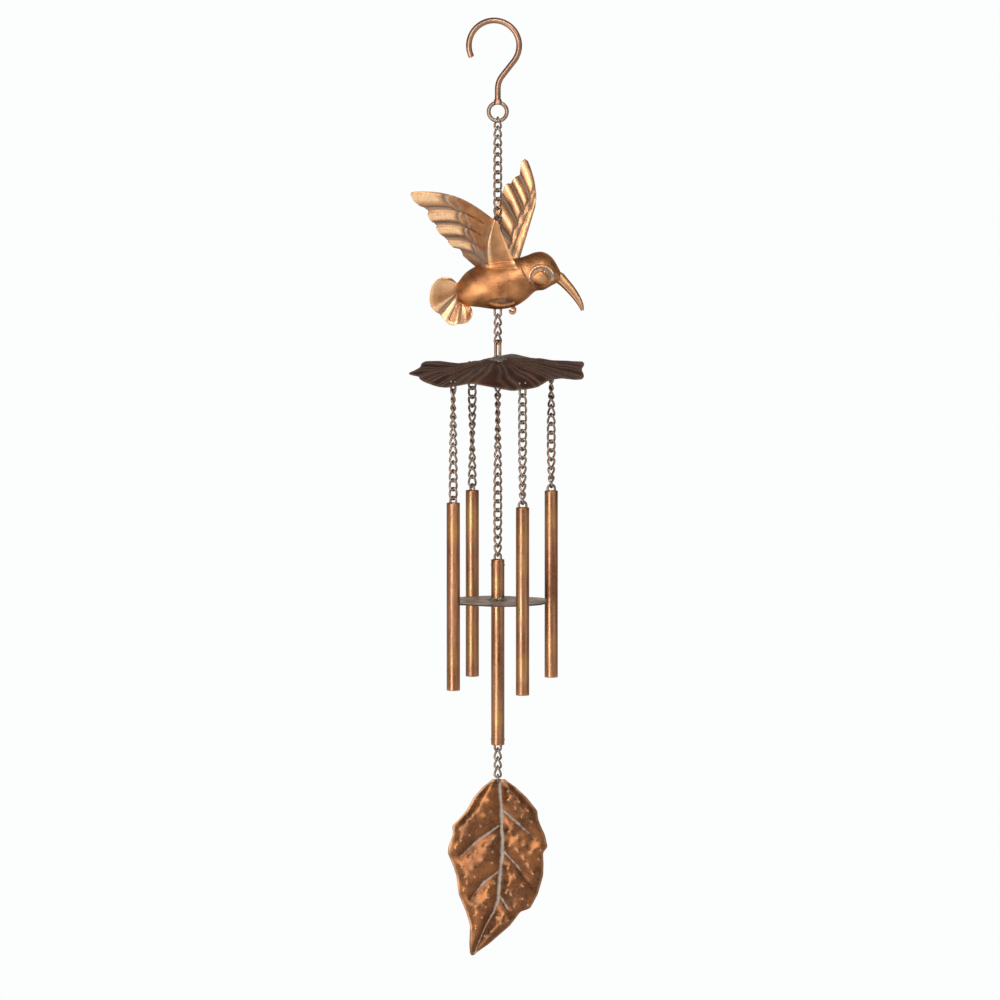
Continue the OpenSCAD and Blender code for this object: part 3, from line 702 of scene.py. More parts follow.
def chain_tree():
    """Curb chain: a twisted oval of wire, repeated down a line and turned from link to link."""
    number, whole = "NodeSocketFloat", "NodeSocketInt"
    tree, ids = node_tree(
        "Curb chain",
        [
            ("Links", whole),
            ("Top", "NodeSocketVector"),
            ("Pitch", number),
            ("Half width", number),
            ("Half length", number),
            ("Wire radius", number),
            ("First turn", number),
            ("Turn per link", number),
            ("Material", "NodeSocketMaterial"),
        ],
    )
    inputs = add(tree, "NodeGroupInput").outputs
    steps, wire_sides = 28, 9
    loop = add(tree, "GeometryNodeCurvePrimitiveCircle", {"Resolution": steps, "Radius": 1.0})
    index = add(tree, "GeometryNodeInputIndex").outputs[0]
    angle = add(tree, "ShaderNodeMath", {0: index, 1: 2 * math.pi / steps}, operation="MULTIPLY").outputs[0]
    twice = add(tree, "ShaderNodeMath", {0: angle, 1: 2.0}, operation="MULTIPLY").outputs[0]
    cosine = add(tree, "ShaderNodeMath", {0: angle}, operation="COSINE").outputs[0]
    sine = add(tree, "ShaderNodeMath", {0: angle}, operation="SINE").outputs[0]
    sine_twice = add(tree, "ShaderNodeMath", {0: twice}, operation="SINE").outputs[0]
    across = add(tree, "ShaderNodeMath", {0: cosine, 1: inputs["Half width"]}, operation="MULTIPLY").outputs[0]
    half = add(tree, "ShaderNodeMath", {0: inputs["Half width"], 1: -0.5}, operation="MULTIPLY").outputs[0]
    twist = add(tree, "ShaderNodeMath", {0: sine_twice, 1: half}, operation="MULTIPLY").outputs[0]
    along = add(tree, "ShaderNodeMath", {0: sine, 1: inputs["Half length"]}, operation="MULTIPLY").outputs[0]
    where = add(tree, "ShaderNodeCombineXYZ", {0: across, 1: twist, 2: along}).outputs[0]
    oval = add(tree, "GeometryNodeSetPosition", {"Geometry": loop.outputs[0], "Position": where}).outputs[0]
    round_wire = {"Resolution": wire_sides, "Radius": inputs["Wire radius"]}
    section = add(tree, "GeometryNodeCurvePrimitiveCircle", round_wire).outputs[0]
    link = add(tree, "GeometryNodeCurveToMesh", {"Curve": oval, "Profile Curve": section}).outputs[0]
    down = add(tree, "ShaderNodeMath", {0: inputs["Pitch"], 1: -1.0}, operation="MULTIPLY").outputs[0]
    offset = add(tree, "ShaderNodeCombineXYZ", {2: down}).outputs[0]
    line = add(
        tree,
        "GeometryNodeMeshLine",
        {"Count": inputs["Links"], "Start Location": inputs["Top"], "Offset": offset},
        mode="OFFSET",
    )
    turn = add(
        tree,
        "ShaderNodeMath",
        {0: index, 1: inputs["Turn per link"], 2: inputs["First turn"]},
        operation="MULTIPLY_ADD",
    ).outputs[0]
    spin = add(tree, "ShaderNodeCombineXYZ", {2: turn}).outputs[0]
    many = add(
        tree,
        "GeometryNodeInstanceOnPoints",
        {"Points": line.outputs[0], "Instance": link, "Rotation": spin},
    )
    real = add(tree, "GeometryNodeRealizeInstances", {0: many.outputs[0]})
    soft = add(tree, "GeometryNodeSetShadeSmooth", {0: real.outputs[0]})
    painted = add(tree, "GeometryNodeSetMaterial", {0: soft.outputs[0], "Material": inputs["Material"]})
    add(tree, "NodeGroupOutput", {0: painted.outputs[0]})
    return tree, ids


def nail_tree():
    """Raised nails: a small dome on each seat, turned the way the sheet faces there."""
    number = "NodeSocketFloat"
    tree, ids = node_tree(
        "Raised nails",
        [
            ("Seats", "NodeSocketGeometry"),
            ("Radius", number),
            ("Height", number),
            ("Material", "NodeSocketMaterial"),
        ],
    )
    inputs = add(tree, "NodeGroupInput").outputs
    named = {"Name": "facing"}
    facing = add(tree, "GeometryNodeInputNamedAttribute", named, data_type="FLOAT_VECTOR").outputs[0]
    turn = add(tree, "FunctionNodeAlignRotationToVector", {"Vector": facing}, axis="Z").outputs[0]
    ball = add(tree, "GeometryNodeMeshUVSphere", {"Segments": 12, "Rings": 8, "Radius": 1.0}).outputs[0]
    dome = {0: inputs["Radius"], 1: inputs["Radius"], 2: inputs["Height"]}
    scale = add(tree, "ShaderNodeCombineXYZ", dome).outputs[0]
    many = add(
        tree,
        "GeometryNodeInstanceOnPoints",
        {"Points": inputs["Seats"], "Instance": ball, "Rotation": turn, "Scale": scale},
    )
    real = add(tree, "GeometryNodeRealizeInstances", {0: many.outputs[0]})
    soft = add(tree, "GeometryNodeSetShadeSmooth", {0: real.outputs[0]})
    painted = add(tree, "GeometryNodeSetMaterial", {0: soft.outputs[0], "Material": inputs["Material"]})
    add(tree, "NodeGroupOutput", {0: painted.outputs[0]})
    return tree, ids


# Sizes of the bent wire, of the tubes and of their places, in millimetres and degrees
HOOK_BEND_R, HOOK_OFFSET, HOOK_TIP, HOOK_NECK, HOOK_NECK_R = 18.8, 2.8, 25, 38, 16
HOOK_WIRE, RING_WIRE, RING_R = 4.4, 3.0, 6.8
EYE_R, EYE_SEAT, LOOP_WIRE = 2.3, 2.0, 2.2
BAIL_R, BAIL_RISE, BAIL_HOLE, BAIL_BEND = 3.1, 4.6, 4.0, 0.8
BAIL_WIRE_R, PEG_R = 0.9, 0.7
SAIL_RING_R, SAIL_RING_WIRE = 3.0, 1.6
STAPLE_RISE, STAPLE_FOOT, BELLY_FOOT, BACK_H, LOOP_RISE = 14, 10.2, 12, 18.2, 14.1
TUBE_ANGLES = (223, 294, 388, 475)
TUBE_QUARTERS = (1, 1, 2, 2)
TUBE_LINKS = (12, 12, 13, 13)
TUBE_L, STRIKER_L = 141.0, 140.0
# Braze round the hook's foot: radius, and height above the top of the ring
BRAZE_ROWS = ((1.6, 0.2), (3.2, -0.6), (2.9, 0.9), (2.35, 2.6), (2.1, 3.4))
BRAZE_SIDES = 20

# Heights on the hanging line, from the frame's joints, in millimetres
RING_Z = JOINT_AT["upper_chain_swing"][2] + RING_R
STAPLE_Z = JOINT_AT["bird_rock"][2] + EYE_SEAT
BIRD_Z = STAPLE_Z - STAPLE_RISE - BACK_H
BELLY_Z = JOINT_AT["lower_chain_swing"][2]
LOOP_Z = JOINT_AT["canopy_rock"][2]
CANOPY_Z = LOOP_Z - LOOP_RISE
LOOP_LOW_Z = JOINT_AT["striker_chain_swing"][2]
STRIKER_TOP = JOINT_AT["striker_swing"][2] - BAIL_RISE
STRIKER_LOW = JOINT_AT["sail_chain_swing"][2]
SAIL_RING_TOP = JOINT_AT["sail_swing"][2]


def tube_place(i):
    """Axis of a chime tube, height of its canopy eye and of its top end."""
    at = JOINT_AT[f"tube_chain_{i + 1}_swing"]
    crown = JOINT_AT[f"tube_{i + 1}_swing"][2] + (0 if TUBE_QUARTERS[i] % 2 else EYE_SEAT)
    return at[0], at[1], at[2], crown - BAIL_RISE


def bail_turn(i):
    """Direction of a tube's bail, 135 degrees on from the last link of its chain."""
    return TUBE_ANGLES[i] + 45 + 90 * TUBE_QUARTERS[i] + 135


class CHIME_OT_hook(bpy.types.Operator):
    """Bends the hook and its ring, and puts solder where they meet"""

    bl_idname = "chime.hook"
    bl_label = "Hook and ring"

    def execute(self, context):
        centre = (-HOOK_OFFSET, -(HOOK_BEND_R - HOOK_WIRE / 2))
        a = math.radians(HOOK_NECK)
        start = np.array([centre[0] + HOOK_BEND_R * math.cos(a), centre[1] - HOOK_BEND_R * math.sin(a)])
        run = (start[0] - HOOK_NECK_R * (1 - math.cos(a))) / math.sin(a)
        stop = start - run * np.array([math.sin(a), math.cos(a)])
        shank = stop[1] - HOOK_NECK_R * math.sin(a)
        neck = [start + (stop - start) * t for t in (0.2, 0.4, 0.6, 0.8)]
        top = RING_Z + RING_R
        path = np.vstack(
            [
                arc(centre, HOOK_BEND_R, 180 + HOOK_TIP, -HOOK_NECK, 60),
                [(x, 0, z) for x, z in neck],
                arc((HOOK_NECK_R, shank), HOOK_NECK_R, 180 - HOOK_NECK, 180, 12),
                [(0, 0, z) for z in np.linspace(shank - 1.5, top, 6)],
            ]
        )
        rod = drawn_copper(rod=True)
        points, faces = wire(path, HOOK_WIRE / 2, sides=24)
        place_piece("hook_wire", points, faces, rod, "hook", ("hook_rod",), "antique_copper")
        ring = arc((0, RING_Z), RING_R, 0, 360, 65)[:-1]
        points, faces = wire(ring, RING_WIRE / 2, closed=True, sides=20)
        place_piece("hook_loop", points, faces, darkened_wire(), "hook", ("hook_ring",), "antique_wire")
        points = [
            (r * math.cos(t) * 1.15, r * math.sin(t) * 0.86, top + z - 0.25 * abs(r * math.cos(t)))
            for r, z in BRAZE_ROWS
            for t in np.linspace(0, 2 * math.pi, BRAZE_SIDES, endpoint=False)
        ]
        faces = skin(len(BRAZE_ROWS), BRAZE_SIDES)
        place_piece("hook_braze", points, faces, rod, "hook", slot="antique_copper")
        return {"FINISHED"}


class CHIME_OT_chains(bpy.types.Operator):
    """Grows every length of curb chain with Geometry Nodes"""

    bl_idname = "chime.chains"
    bl_label = "Chains"

    def execute(self, context):
        thick, pitch, play = size("link_wire"), size("link_pitch"), size("link_play")
        r, half_l = thick / 2, (pitch + thick + play) / 2
        # Node, links, place, top of the first link's wire, its turn, and quarter turns down the chain
        rows = [
            ("upper_chain", 14, (0, 0), RING_Z - RING_R + RING_WIRE / 2 + r + play, 135, 1),
            ("lower_chain", 3, (0, 0), BELLY_Z + EYE_SEAT, 135, 0),
            ("striker_chain", 21, (0, 0), LOOP_LOW_Z + LOOP_WIRE / 2 + r + play, 45, 2),
            ("sail_chain", 3, (0, 0), STRIKER_LOW + EYE_SEAT, 135, 0),
        ]
        for i, (links, angle, quarters) in enumerate(zip(TUBE_LINKS, TUBE_ANGLES, TUBE_QUARTERS)):
            x, y, eye, _ = tube_place(i)
            rows.append((f"tube_chain_{i + 1}", links, (x, y), eye + EYE_SEAT, angle + 45, quarters))
        tree, ids = chain_tree()
        for node, count, xy, top, roll, quarters in rows:
            values = {
                "Links": count,
                "Top": (xy[0] * MM, xy[1] * MM, (top - half_l) * MM),
                "Pitch": pitch * MM,
                "Half width": (size("link_width") - thick) / 2 * MM,
                "Half length": half_l * MM,
                "Wire radius": r * MM,
                "First turn": math.radians(roll),
                "Turn per link": math.radians(90 * quarters / (count - 1)),
                "Material": darkened_wire(),
            }
            settle(grow(node + "_links", tree, ids, values), node, (node,))
        return {"FINISHED"}


def arch(r, top, foot):
    """Path of a wire arch in the XZ plane."""
    return np.vstack(
        [
            [(-r, 0, z) for z in np.linspace(foot, top - r - 0.4, 5)],
            arc((0, top - r), r, 180, 0, 20),
            [(r, 0, z) for z in np.linspace(top - r - 0.4, foot, 5)],
        ]
    )


def bail(r, tube_r):
    """Path and radii of a bail: pegs in the tube's wall, legs up its bore and a round top."""
    low, bend = -BAIL_HOLE, BAIL_BEND
    left = [
        (-tube_r - 0.05, 0, low),
        (-r - bend, 0, low),
        (-r - 0.25 * bend, 0, low + 0.25 * bend),
        (-r, 0, low + bend),
    ]
    right = [(-x, y, z) for x, y, z in left[::-1]]
    path = np.vstack([left, arch(r, BAIL_RISE, low + 1.4), right])
    radii = np.full(len(path), BAIL_WIRE_R)
    radii[:2] = radii[-2:] = PEG_R
    return path, radii


class CHIME_OT_fittings(bpy.types.Operator):
    """Bends the staples, eyes, bails, the canopy's loop and the sail's ring"""

    bl_idname = "chime.fittings"
    bl_label = "Wire fittings"

    def execute(self, context):
        metal = darkened_wire()
        r, tube_r = size("eye_wire") / 2, size("tube_d") / 2
        for name, path, node in (
            ("bird_staple", arch(EYE_R, STAPLE_Z, BIRD_Z + STAPLE_FOOT), "bird_back_staple"),
            ("bird_eye_wire", arch(EYE_R, -BELLY_Z, BELLY_FOOT - BIRD_Z) * [1, 1, -1], "bird_belly_eye"),
        ):
            place_piece(name, *wire(path, r), metal, "bird", (node,), "antique_wire")
        low = arc((0, LOOP_LOW_Z + EYE_R), EYE_R, 180, 360, 18)
        high = arc((0, LOOP_Z - EYE_R), EYE_R, 0, 180, 18)
        sides = np.linspace(LOOP_LOW_Z + EYE_R, LOOP_Z - EYE_R, 10)[1:-1]
        path = np.vstack([low, [(EYE_R, 0, z) for z in sides], high, [(-EYE_R, 0, z) for z in sides[::-1]]])
        points, faces = wire(turned(path, 45), LOOP_WIRE / 2, closed=True, sides=16)
        place_piece("canopy_link", points, faces, drawn_copper(), "canopy", ("canopy_loop",), "antique_wire")
        eyes = []
        path, radii = bail(BAIL_R, tube_r)
        for i, angle in enumerate(TUBE_ANGLES):
            x, y, eye, top = tube_place(i)
            leaf = CANOPY_Z + leaf_height(np.array(x), np.array(y))
            hoop = arch(EYE_R, 0, -(leaf - eye + 0.6)) * [1, 1, -1]
            eyes.append(wire(turned(hoop, angle + 90, (x, y, eye)), r))
            points, faces = wire(turned(path, bail_turn(i), (x, y, top)), radii)
            node = f"tube_bail_{i + 1}"
            place_piece(node + "_wire", points, faces, metal, f"tube_{i + 1}", (node,), "antique_wire")
        place_piece("canopy_eye_wires", *join(eyes), metal, "canopy", ("canopy_eyes",), "antique_wire")
        path, radii = bail(EYE_R, tube_r)
        for end, flip, z in (("top", 1, STRIKER_TOP), ("bottom", -1, STRIKER_TOP - STRIKER_L)):
            points, faces = wire(path * [1, 1, flip] + [0, 0, z], radii)
            node = "striker_bail_" + end
            place_piece(node + "_wire", points, faces, metal, "striker", (node,), "antique_wire")
        ring = turned(arc((0, SAIL_RING_TOP - SAIL_RING_R), SAIL_RING_R, 0, 360, 41)[:-1], 90)
        points, faces = wire(ring, SAIL_RING_WIRE / 2, closed=True)
        place_piece("sail_loop", points, faces, metal, "sail", ("sail_ring",), "antique_wire")
        return {"FINISHED"}


# Bird, in its side view: rows of the body from tail to beak, with its place, top, low edge and half width
BODY_ROWS = [
    (-30.6, 1, -11, 5),
    (-23.8, 9.6, -15, 10.5),
    (-13.3, 15.6, -16.5, 15),
    (0, 18.2, -18, 17),
    (12.2, 19.6, -16, 15.5),
    (21, 22.2, -10.8, 13),
    (28, 24.8, -4.6, 12),
    (34.5, 24.8, -3.4, 11.5),
    (41, 20.4, 0.2, 8.5),
    (46.7, 10.8, 3, 3),
]
NECK = [(15.5, 21.5), (17.9, 15.6), (21, 8.2), (25.8, 1.9), (30, -3.4)]
EYE_AT, EYE_REACH, PUPIL_AT = (32.7, 7.0), (7.9, 7.3), (35.3, 11.2)
CHEEK_AT, CHEEK_R = (32.0, 5.6), 6.1
# Lens-shaped flat under the breast
LENS_AT, LENS_REACH = (3.4, -12), (10.5, 3.2)
SHEET = 0.9


def body_side(x, z):
    """Half width of the body at a place in its side view."""
    rows = smooth_rows(BODY_ROWS, np.linspace(0, 1, 240))
    top, low, wide = (np.interp(x, rows[:, 0], rows[:, k]) for k in (1, 2, 3))
    m, h = (top + low) / 2, (top - low) / 2
    return wide * np.sqrt(1 - np.minimum(0.99, np.abs(z - m) / h) ** 2)


def stamp_bird(node, made, grid, data, back_share=0.0):
    """Stamps one of the bird's sheets from its outer face, in place of its CAD node."""
    data = {key: np.clip(values, 0, 1) for key, values in data.items()}
    points, faces, data = sheet(grid, SHEET, data, back_share=back_share)
    points[:, 2] += BIRD_Z
    name = f"{node}_{made}"
    place_piece(name, points, faces, stamped_copper(), "bird", (node,), "antique_copper", data)


class CHIME_OT_bird_body(bpy.types.Operator):
    """Stamps the two halves of the bird's body, with the eyes and the neck crease"""

    bl_idname = "chime.bird_body"
    bl_label = "Bird body"

    def execute(self, context):
        u, v = np.meshgrid(np.linspace(0, 1, 230), np.linspace(0, 1, 96), indexing="ij")
        s = smooth_rows(BODY_ROWS, u)
        m, h = (s[..., 1] + s[..., 2]) / 2, (s[..., 1] - s[..., 2]) / 2
        angle = math.pi * (1 - v)
        for node, side in (("bird_body_near", 1), ("bird_body_far", -1)):
            grid = np.stack([s[..., 0], -side * s[..., 3] * np.sin(angle), m + side * h * np.cos(angle)], -1)
            out = normals(grid)
            x, z = grid[..., 0], grid[..., 2]
            faces_side = step((np.abs(out[..., 1]) - 0.05) / 0.3)
            crease, share = gap_to(NECK, x, z)
            fade = step(share / 0.15) * step((1 - share) / 0.2)
            lift = -0.7 * bell(crease / 0.9) * fade
            patina = 0.45 * bell(crease / 0.9) * fade
            # Eye: raised brow, groove, cheek dome and the punched eye
            e = np.hypot((x - EYE_AT[0]) / EYE_REACH[0], (z - EYE_AT[1]) / EYE_REACH[1])
            brow = bell((e - 1.14) / 0.1) * step((z - 2.5) / 5)
            groove = bell((e - 0.98) / 0.07) * (0.4 + 0.6 * step((z - 4) / 5))
            cheek = np.clip(1 - ((x - CHEEK_AT[0]) ** 2 + (z - CHEEK_AT[1]) ** 2) / CHEEK_R**2, 0, 1)
            socket = step((1.0 - e) / 0.1)
            lift += 0.7 * brow - 0.9 * groove - 0.6 * socket + 1.9 * np.sqrt(cheek) * step(cheek / 0.2)
            patina += 0.95 * groove + 0.55 * socket * (1 - step(cheek / 0.2))
            pupil = np.hypot(x - PUPIL_AT[0], z - PUPIL_AT[1])
            lift += 0.8 * bell(pupil / 0.6) - 0.5 * bell((pupil - 1.3) / 0.4)
            # A grey ring round the pupil, cleared in its middle for the painted highlight
            patina = (patina + bell((pupil - 1.35) / 0.5)) * (1 - bell(pupil / 0.7))
            # Grey that stayed where the beak is set in
            patina += 0.8 * bell((z - 7.6) / 2.3) * step((x - 36) / 3) * (1 - step((x - 44) / 3))
            # The raised brow and the cheek's crown are rubbed bright, with painted highlight; the bright dot on the
            # pupil is a painted highlight
            rub = brow + 0.5 * np.clip(cheek - 0.55, 0, 1) + 0.9 * bell(pupil / 0.55)
            lens = 1 - ((x - LENS_AT[0]) / LENS_REACH[0]) ** 2 - ((z - LENS_AT[1]) / LENS_REACH[1]) ** 2
            lift -= 1.5 * step(lens / 0.35)
            # Brighter along the lens's upper edge only: rubbed edge and painted highlight
            rub += 0.7 * bell((lens - 0.02) / 0.1) * (z > -11)
            patina += 0.5 * step(lens / 0.3)
            # Unevenness of the stamped sheet, less than 0.2 mm
            lift += 0.1 * np.sin(x / 3.1 + 1) * np.sin(z / 2.7) + 0.07 * np.sin(x / 1.9) * np.sin(z / 2.1 + 2)
            grid = grid + out * (lift * faces_side)[..., None]
            breast = bell((x - 8) / 11) * bell((z - 6.5) / 5) + bell((x - 20) / 5) * bell((z - 6) / 8)
            data = {"patina": patina * faces_side, "rub": rub * faces_side, "punch": breast}
            stamp_bird(node, "shell", grid, data)
        return {"FINISHED"}


# Wings, in the same view: the near wing's root, its fold, and the front edge of the panel before the fold
NEAR_ROOT = (-6.2, 13)
NEAR_CREASE = [(-2.6, 49.3), (-7.6, 31), (-6, 8.5)]
NEAR_FRONT = [(-0.6, 48.4), (7.6, 29), (17.4, 8.5)]
# Trailing edges: share of the way from the wing's tip to its root, then place in the side view
NEAR_EDGE = [
    (0, -60.5, 70.4),
    (0.02, -63.5, 70.2),
    (0.05, -65, 68.3),
    (0.1, -62.8, 63.6),
    (0.15, -58, 59.6),
    (0.192, -53, 57.4),
    (0.208, -51.2, 56.2),
    (0.24, -52.2, 53.6),
    (0.29, -50.8, 50),
    (0.35, -48.6, 47.6),
    (0.392, -46.6, 46.4),
    (0.408, -45, 45.5),
    (0.44, -46, 43.4),
    (0.5, -44, 40.2),
    (0.56, -41, 37.2),
    (0.592, -38.4, 35.4),
    (0.608, -36.8, 34.5),
    (0.65, -36.8, 32.6),
    (0.72, -33.6, 29.6),
    (0.792, -28.2, 27.2),
    (0.808, -26.8, 26.1),
    (0.86, -25.8, 23),
    (0.93, -21.8, 19.3),
    (1, -16.8, 15),
]
FAR_FRONT = [(28.2, 57.7), (21.6, 36), (15.5, 17)]
FAR_EDGE = [
    (0, 22.8, 91.2),
    (0.03, 20.4, 92.6),
    (0.07, 18, 90.4),
    (0.12, 17, 86),
    (0.192, 16.2, 80.6),
    (0.208, 15.2, 80.2),
    (0.24, 13.6, 79.6),
    (0.3, 11.4, 77.4),
    (0.392, 9.6, 74.6),
    (0.408, 8.8, 74.8),
    (0.45, 7, 74.4),
    (0.52, 4.6, 71),
    (0.592, 2.8, 65.6),
    (0.608, 2, 64.6),
    (0.66, -0.4, 61),
    (0.73, -2.2, 54),
    (0.792, -3, 46.6),
    (0.808, -3.8, 45),
    (0.9, -8, 31),
    (1, -12.6, 16.8),
]
FEATHERS = 5
# Share of the near wing that is its folded front panel
WING_FOLD = 0.25
# Rise of the near wing for each millimetre that it leans out
NEAR_TILT = 0.096


def feather_share(v):
    """Share of the way across a feather, from 0 to 1 within each."""
    s = FEATHERS * v
    return s - np.floor(np.minimum(s, FEATHERS - 1e-4))


def edge_at(rows, v):
    """Place on an edge given by rows of share, x and z."""
    rows = np.array(rows)
    return np.stack([np.interp(v, rows[:, 0], rows[:, k]) for k in (1, 2)], -1)


def wing_seat(x, z, root, v):
    """How far out a wing sits: clear of the body at its tip, and just inside the skin at its root."""
    return (body_side(*root) + SHEET) * (1 - v**3) + (body_side(x, z) - 0.8) * v**3


def on_skin(out, x, z, v):
    """Keeps a wing just outside the body's skin, and sinks its root into it."""
    clear = body_side(x, z) + 0.3
    return 0.5 * (out + clear + np.hypot(out - clear, 1.0)) - 1.9 * step((v - 0.78) / 0.22)


def feather_relief(w, k, cover):
    """Lift, patina and rubbed brightness of a wing: flight feathers behind two scalloped rows of coverts. The patina
    holds painted shade beneath each feather, and the brightness painted highlights.
    """
    half = np.mod(k + 0.5, 1)
    first = w - cover - 0.05 * np.sin(math.pi * k) ** 0.6
    second = w - cover + 0.13 - 0.05 * np.sin(math.pi * half) ** 0.6
    flight = step(first / 0.03)
    plump = np.where(k < 0.78, np.sin(math.pi * np.minimum(k / 0.78, 1)), -np.sin(math.pi * (k - 0.78) / 0.22))
    lift = flight * plump - 0.6 * bell(first / 0.02) - 0.4 * bell(second / 0.018)
    lift += 0.7 * (1 - flight) + 0.3 * (1 - step(second / 0.03))
    # Grey in the groove where a feather tucks beneath the next: patina, and painted shade of the overlap
    overlap_patina_and_shade = step((k - 0.74) / 0.1) + bell(k / 0.035)
    patina = flight * (overlap_patina_and_shade + 0.4 * bell((first - 0.03) / 0.06)) + 0.34 * (1 - flight)
    patina += 0.9 * bell(first / 0.024) + 0.7 * bell(second / 0.02)
    # Rubbed wear and a painted highlight across the plump middle of each flight feather
    rub = 0.95 * flight * bell((k - 0.38) / 0.2) * step((first - 0.02) / 0.12)
    rub += 0.35 * bell((first + 0.03) / 0.02)
    return lift, patina, rub


class CHIME_OT_bird_wings(bpy.types.Operator):
    """Stamps the two wings, with their feathers, coverts and folded front panel"""

    bl_idname = "chime.bird_wings"
    bl_label = "Bird wings"

    def execute(self, context):
        u, v = np.meshgrid(np.linspace(0, 1, 170), np.linspace(0, 1, 240), indexing="ij")
        k = feather_share(v)
        rest = 1 - step((v - 0.72) / 0.2)
        # Near wing
        c, g, t = smooth_rows(NEAR_CREASE, v), smooth_rows(NEAR_FRONT, v), edge_at(NEAR_EDGE, v)
        w = np.clip((u - WING_FOLD) / (1 - WING_FOLD), 0, 1)
        front = u < WING_FOLD
        f = np.clip(u / WING_FOLD, 0, 1)
        p = np.where(front[..., None], g + (c - g) * f[..., None], c + (t - c) * w[..., None])
        x, z = p[..., 0], p[..., 1]
        bow = np.where(front, 0, 7 * np.sin(math.pi * w) * (1 - v))
        reach = np.hypot(x - c[..., 0], z - c[..., 1]) * np.where(front, -0.1, 0.22) * rest
        swell = np.where(front, 0, 1.4 * np.sin(math.pi * k) * np.clip(3 * w, 0, 1)) * rest
        seat = wing_seat(x, z, NEAR_ROOT, v)
        out = on_skin(seat + 0.24 * (z - NEAR_ROOT[1]) + reach + swell, x, z, v)
        grid = np.stack([x, -out, z + bow + NEAR_TILT * (out - body_side(*NEAR_ROOT))], -1)
        lift, patina, rub = feather_relief(w, k, 0.58 - 0.36 * np.minimum(v, 0.75))
        panel_edge = bell((f - 0.06) / 0.07) + bell((f - 0.93) / 0.08)
        fade = 1 - step((v - 0.45) / 0.4)
        lift = np.where(front, 0.9 * fade * panel_edge - 0.25 * np.sin(math.pi * f), lift * step(w / 0.12))
        behind = patina * step(w / 0.1) + 0.55 * bell((w - 0.03) / 0.03) * step(v / 0.2)
        patina = np.where(front, 0.35 * bell((f - 0.8) / 0.08), behind)
        rub = np.where(front, 0.9 * panel_edge + 0.15, rub)
        grid = grid + normals(grid) * (lift * rest)[..., None]
        # Grey towards the root, behind the fold, next to the body
        hollow = 0.55 * step((v - 0.55) / 0.25) * step(w / 0.1) * (1 - step((v - 0.9) / 0.1))
        data = {
            "patina": patina * rest + hollow,
            "rub": rub * rest + 0.18 * step((w - 0.4) / 0.25),
            "pool": np.where(front, 0, 0.26 * step(w / 0.1) * (1 - step((w - 0.35) / 0.3))),
        }
        stamp_bird("bird_wing_near", "feathers", grid, data, back_share=0.6)
        # Far wing
        c, t = smooth_rows(FAR_FRONT, v), edge_at(FAR_EDGE, v)
        p = c + (t - c) * u[..., None]
        x, z = p[..., 0], p[..., 1]
        bow = 2.4 * np.sin(math.pi * u) * (1 - v)
        rest = 1 - step((v - 0.86) / 0.12)
        swell = 1.2 * np.sin(math.pi * k) * np.clip(2 * u, 0, 1) * rest
        root = (0, FAR_FRONT[-1][1])
        grid = np.stack([x + bow, wing_seat(x, z, root, v) + 0.29 * (z - root[1]) - swell, z], -1)
        lift, patina, rub = feather_relief(u, k, 0.36)
        band = 1 - step((u - 0.2) / 0.06)
        lift = 0.75 * lift * (1 - band) + 0.8 * band * np.sin(math.pi * np.clip(u / 0.24, 0, 1))
        patina = patina * (1 - band) + 0.7 * bell((u - 0.235) / 0.02)
        rub = 0.5 * rub * (1 - band) + 0.4 * band * bell((u - 0.1) / 0.08)
        grid = grid + normals(grid) * (lift * rest)[..., None]
        data = {"patina": patina * rest, "rub": rub * rest + 0.06}
        stamp_bird("bird_wing_far", "feathers", grid, data, back_share=0.6)
        return {"FINISHED"}


# Tail fan: its centre, then rows of direction, inner and outer radius
TAIL_C = (-25.4, -2.0)
TAIL_ROWS = [
    (145, 5, 14),
    (165, 4.2, 22),
    (190, 4.2, 25.5),
    (212, 5.2, 28),
    (232, 7.6, 27),
    (248, 9.6, 28.5),
    (262, 10.8, 27.5),
    (276, 12.4, 25),
    (288, 13, 20),
]
# Shares of the fan at which its three feathers meet
TAIL_LOBES = np.array([0, 0.46, 0.75, 1])
# Beak: rows of its place in the side view, half height and half width, from root to tip
BEAK_ROWS = [
    (45.6, 6.3, 4.5, 3.2),
    (50, 1.9, 3.8, 2.8),
    (54.5, -3.1, 3.4, 2.4),
    (59, -9.1, 2.8, 2),
    (62, -14.4, 2.1, 1.6),
    (63.4, -18.9, 1.2, 1.1),
]
# Feet: place along the body and across it, radius of the curl, wire, and height of the curl's middle
CLAW_X, CLAW_Y, CLAW_R, CLAW_WIRE, CLAW_RISE = 11, 4.5, 2.0, 1.9, 2.7


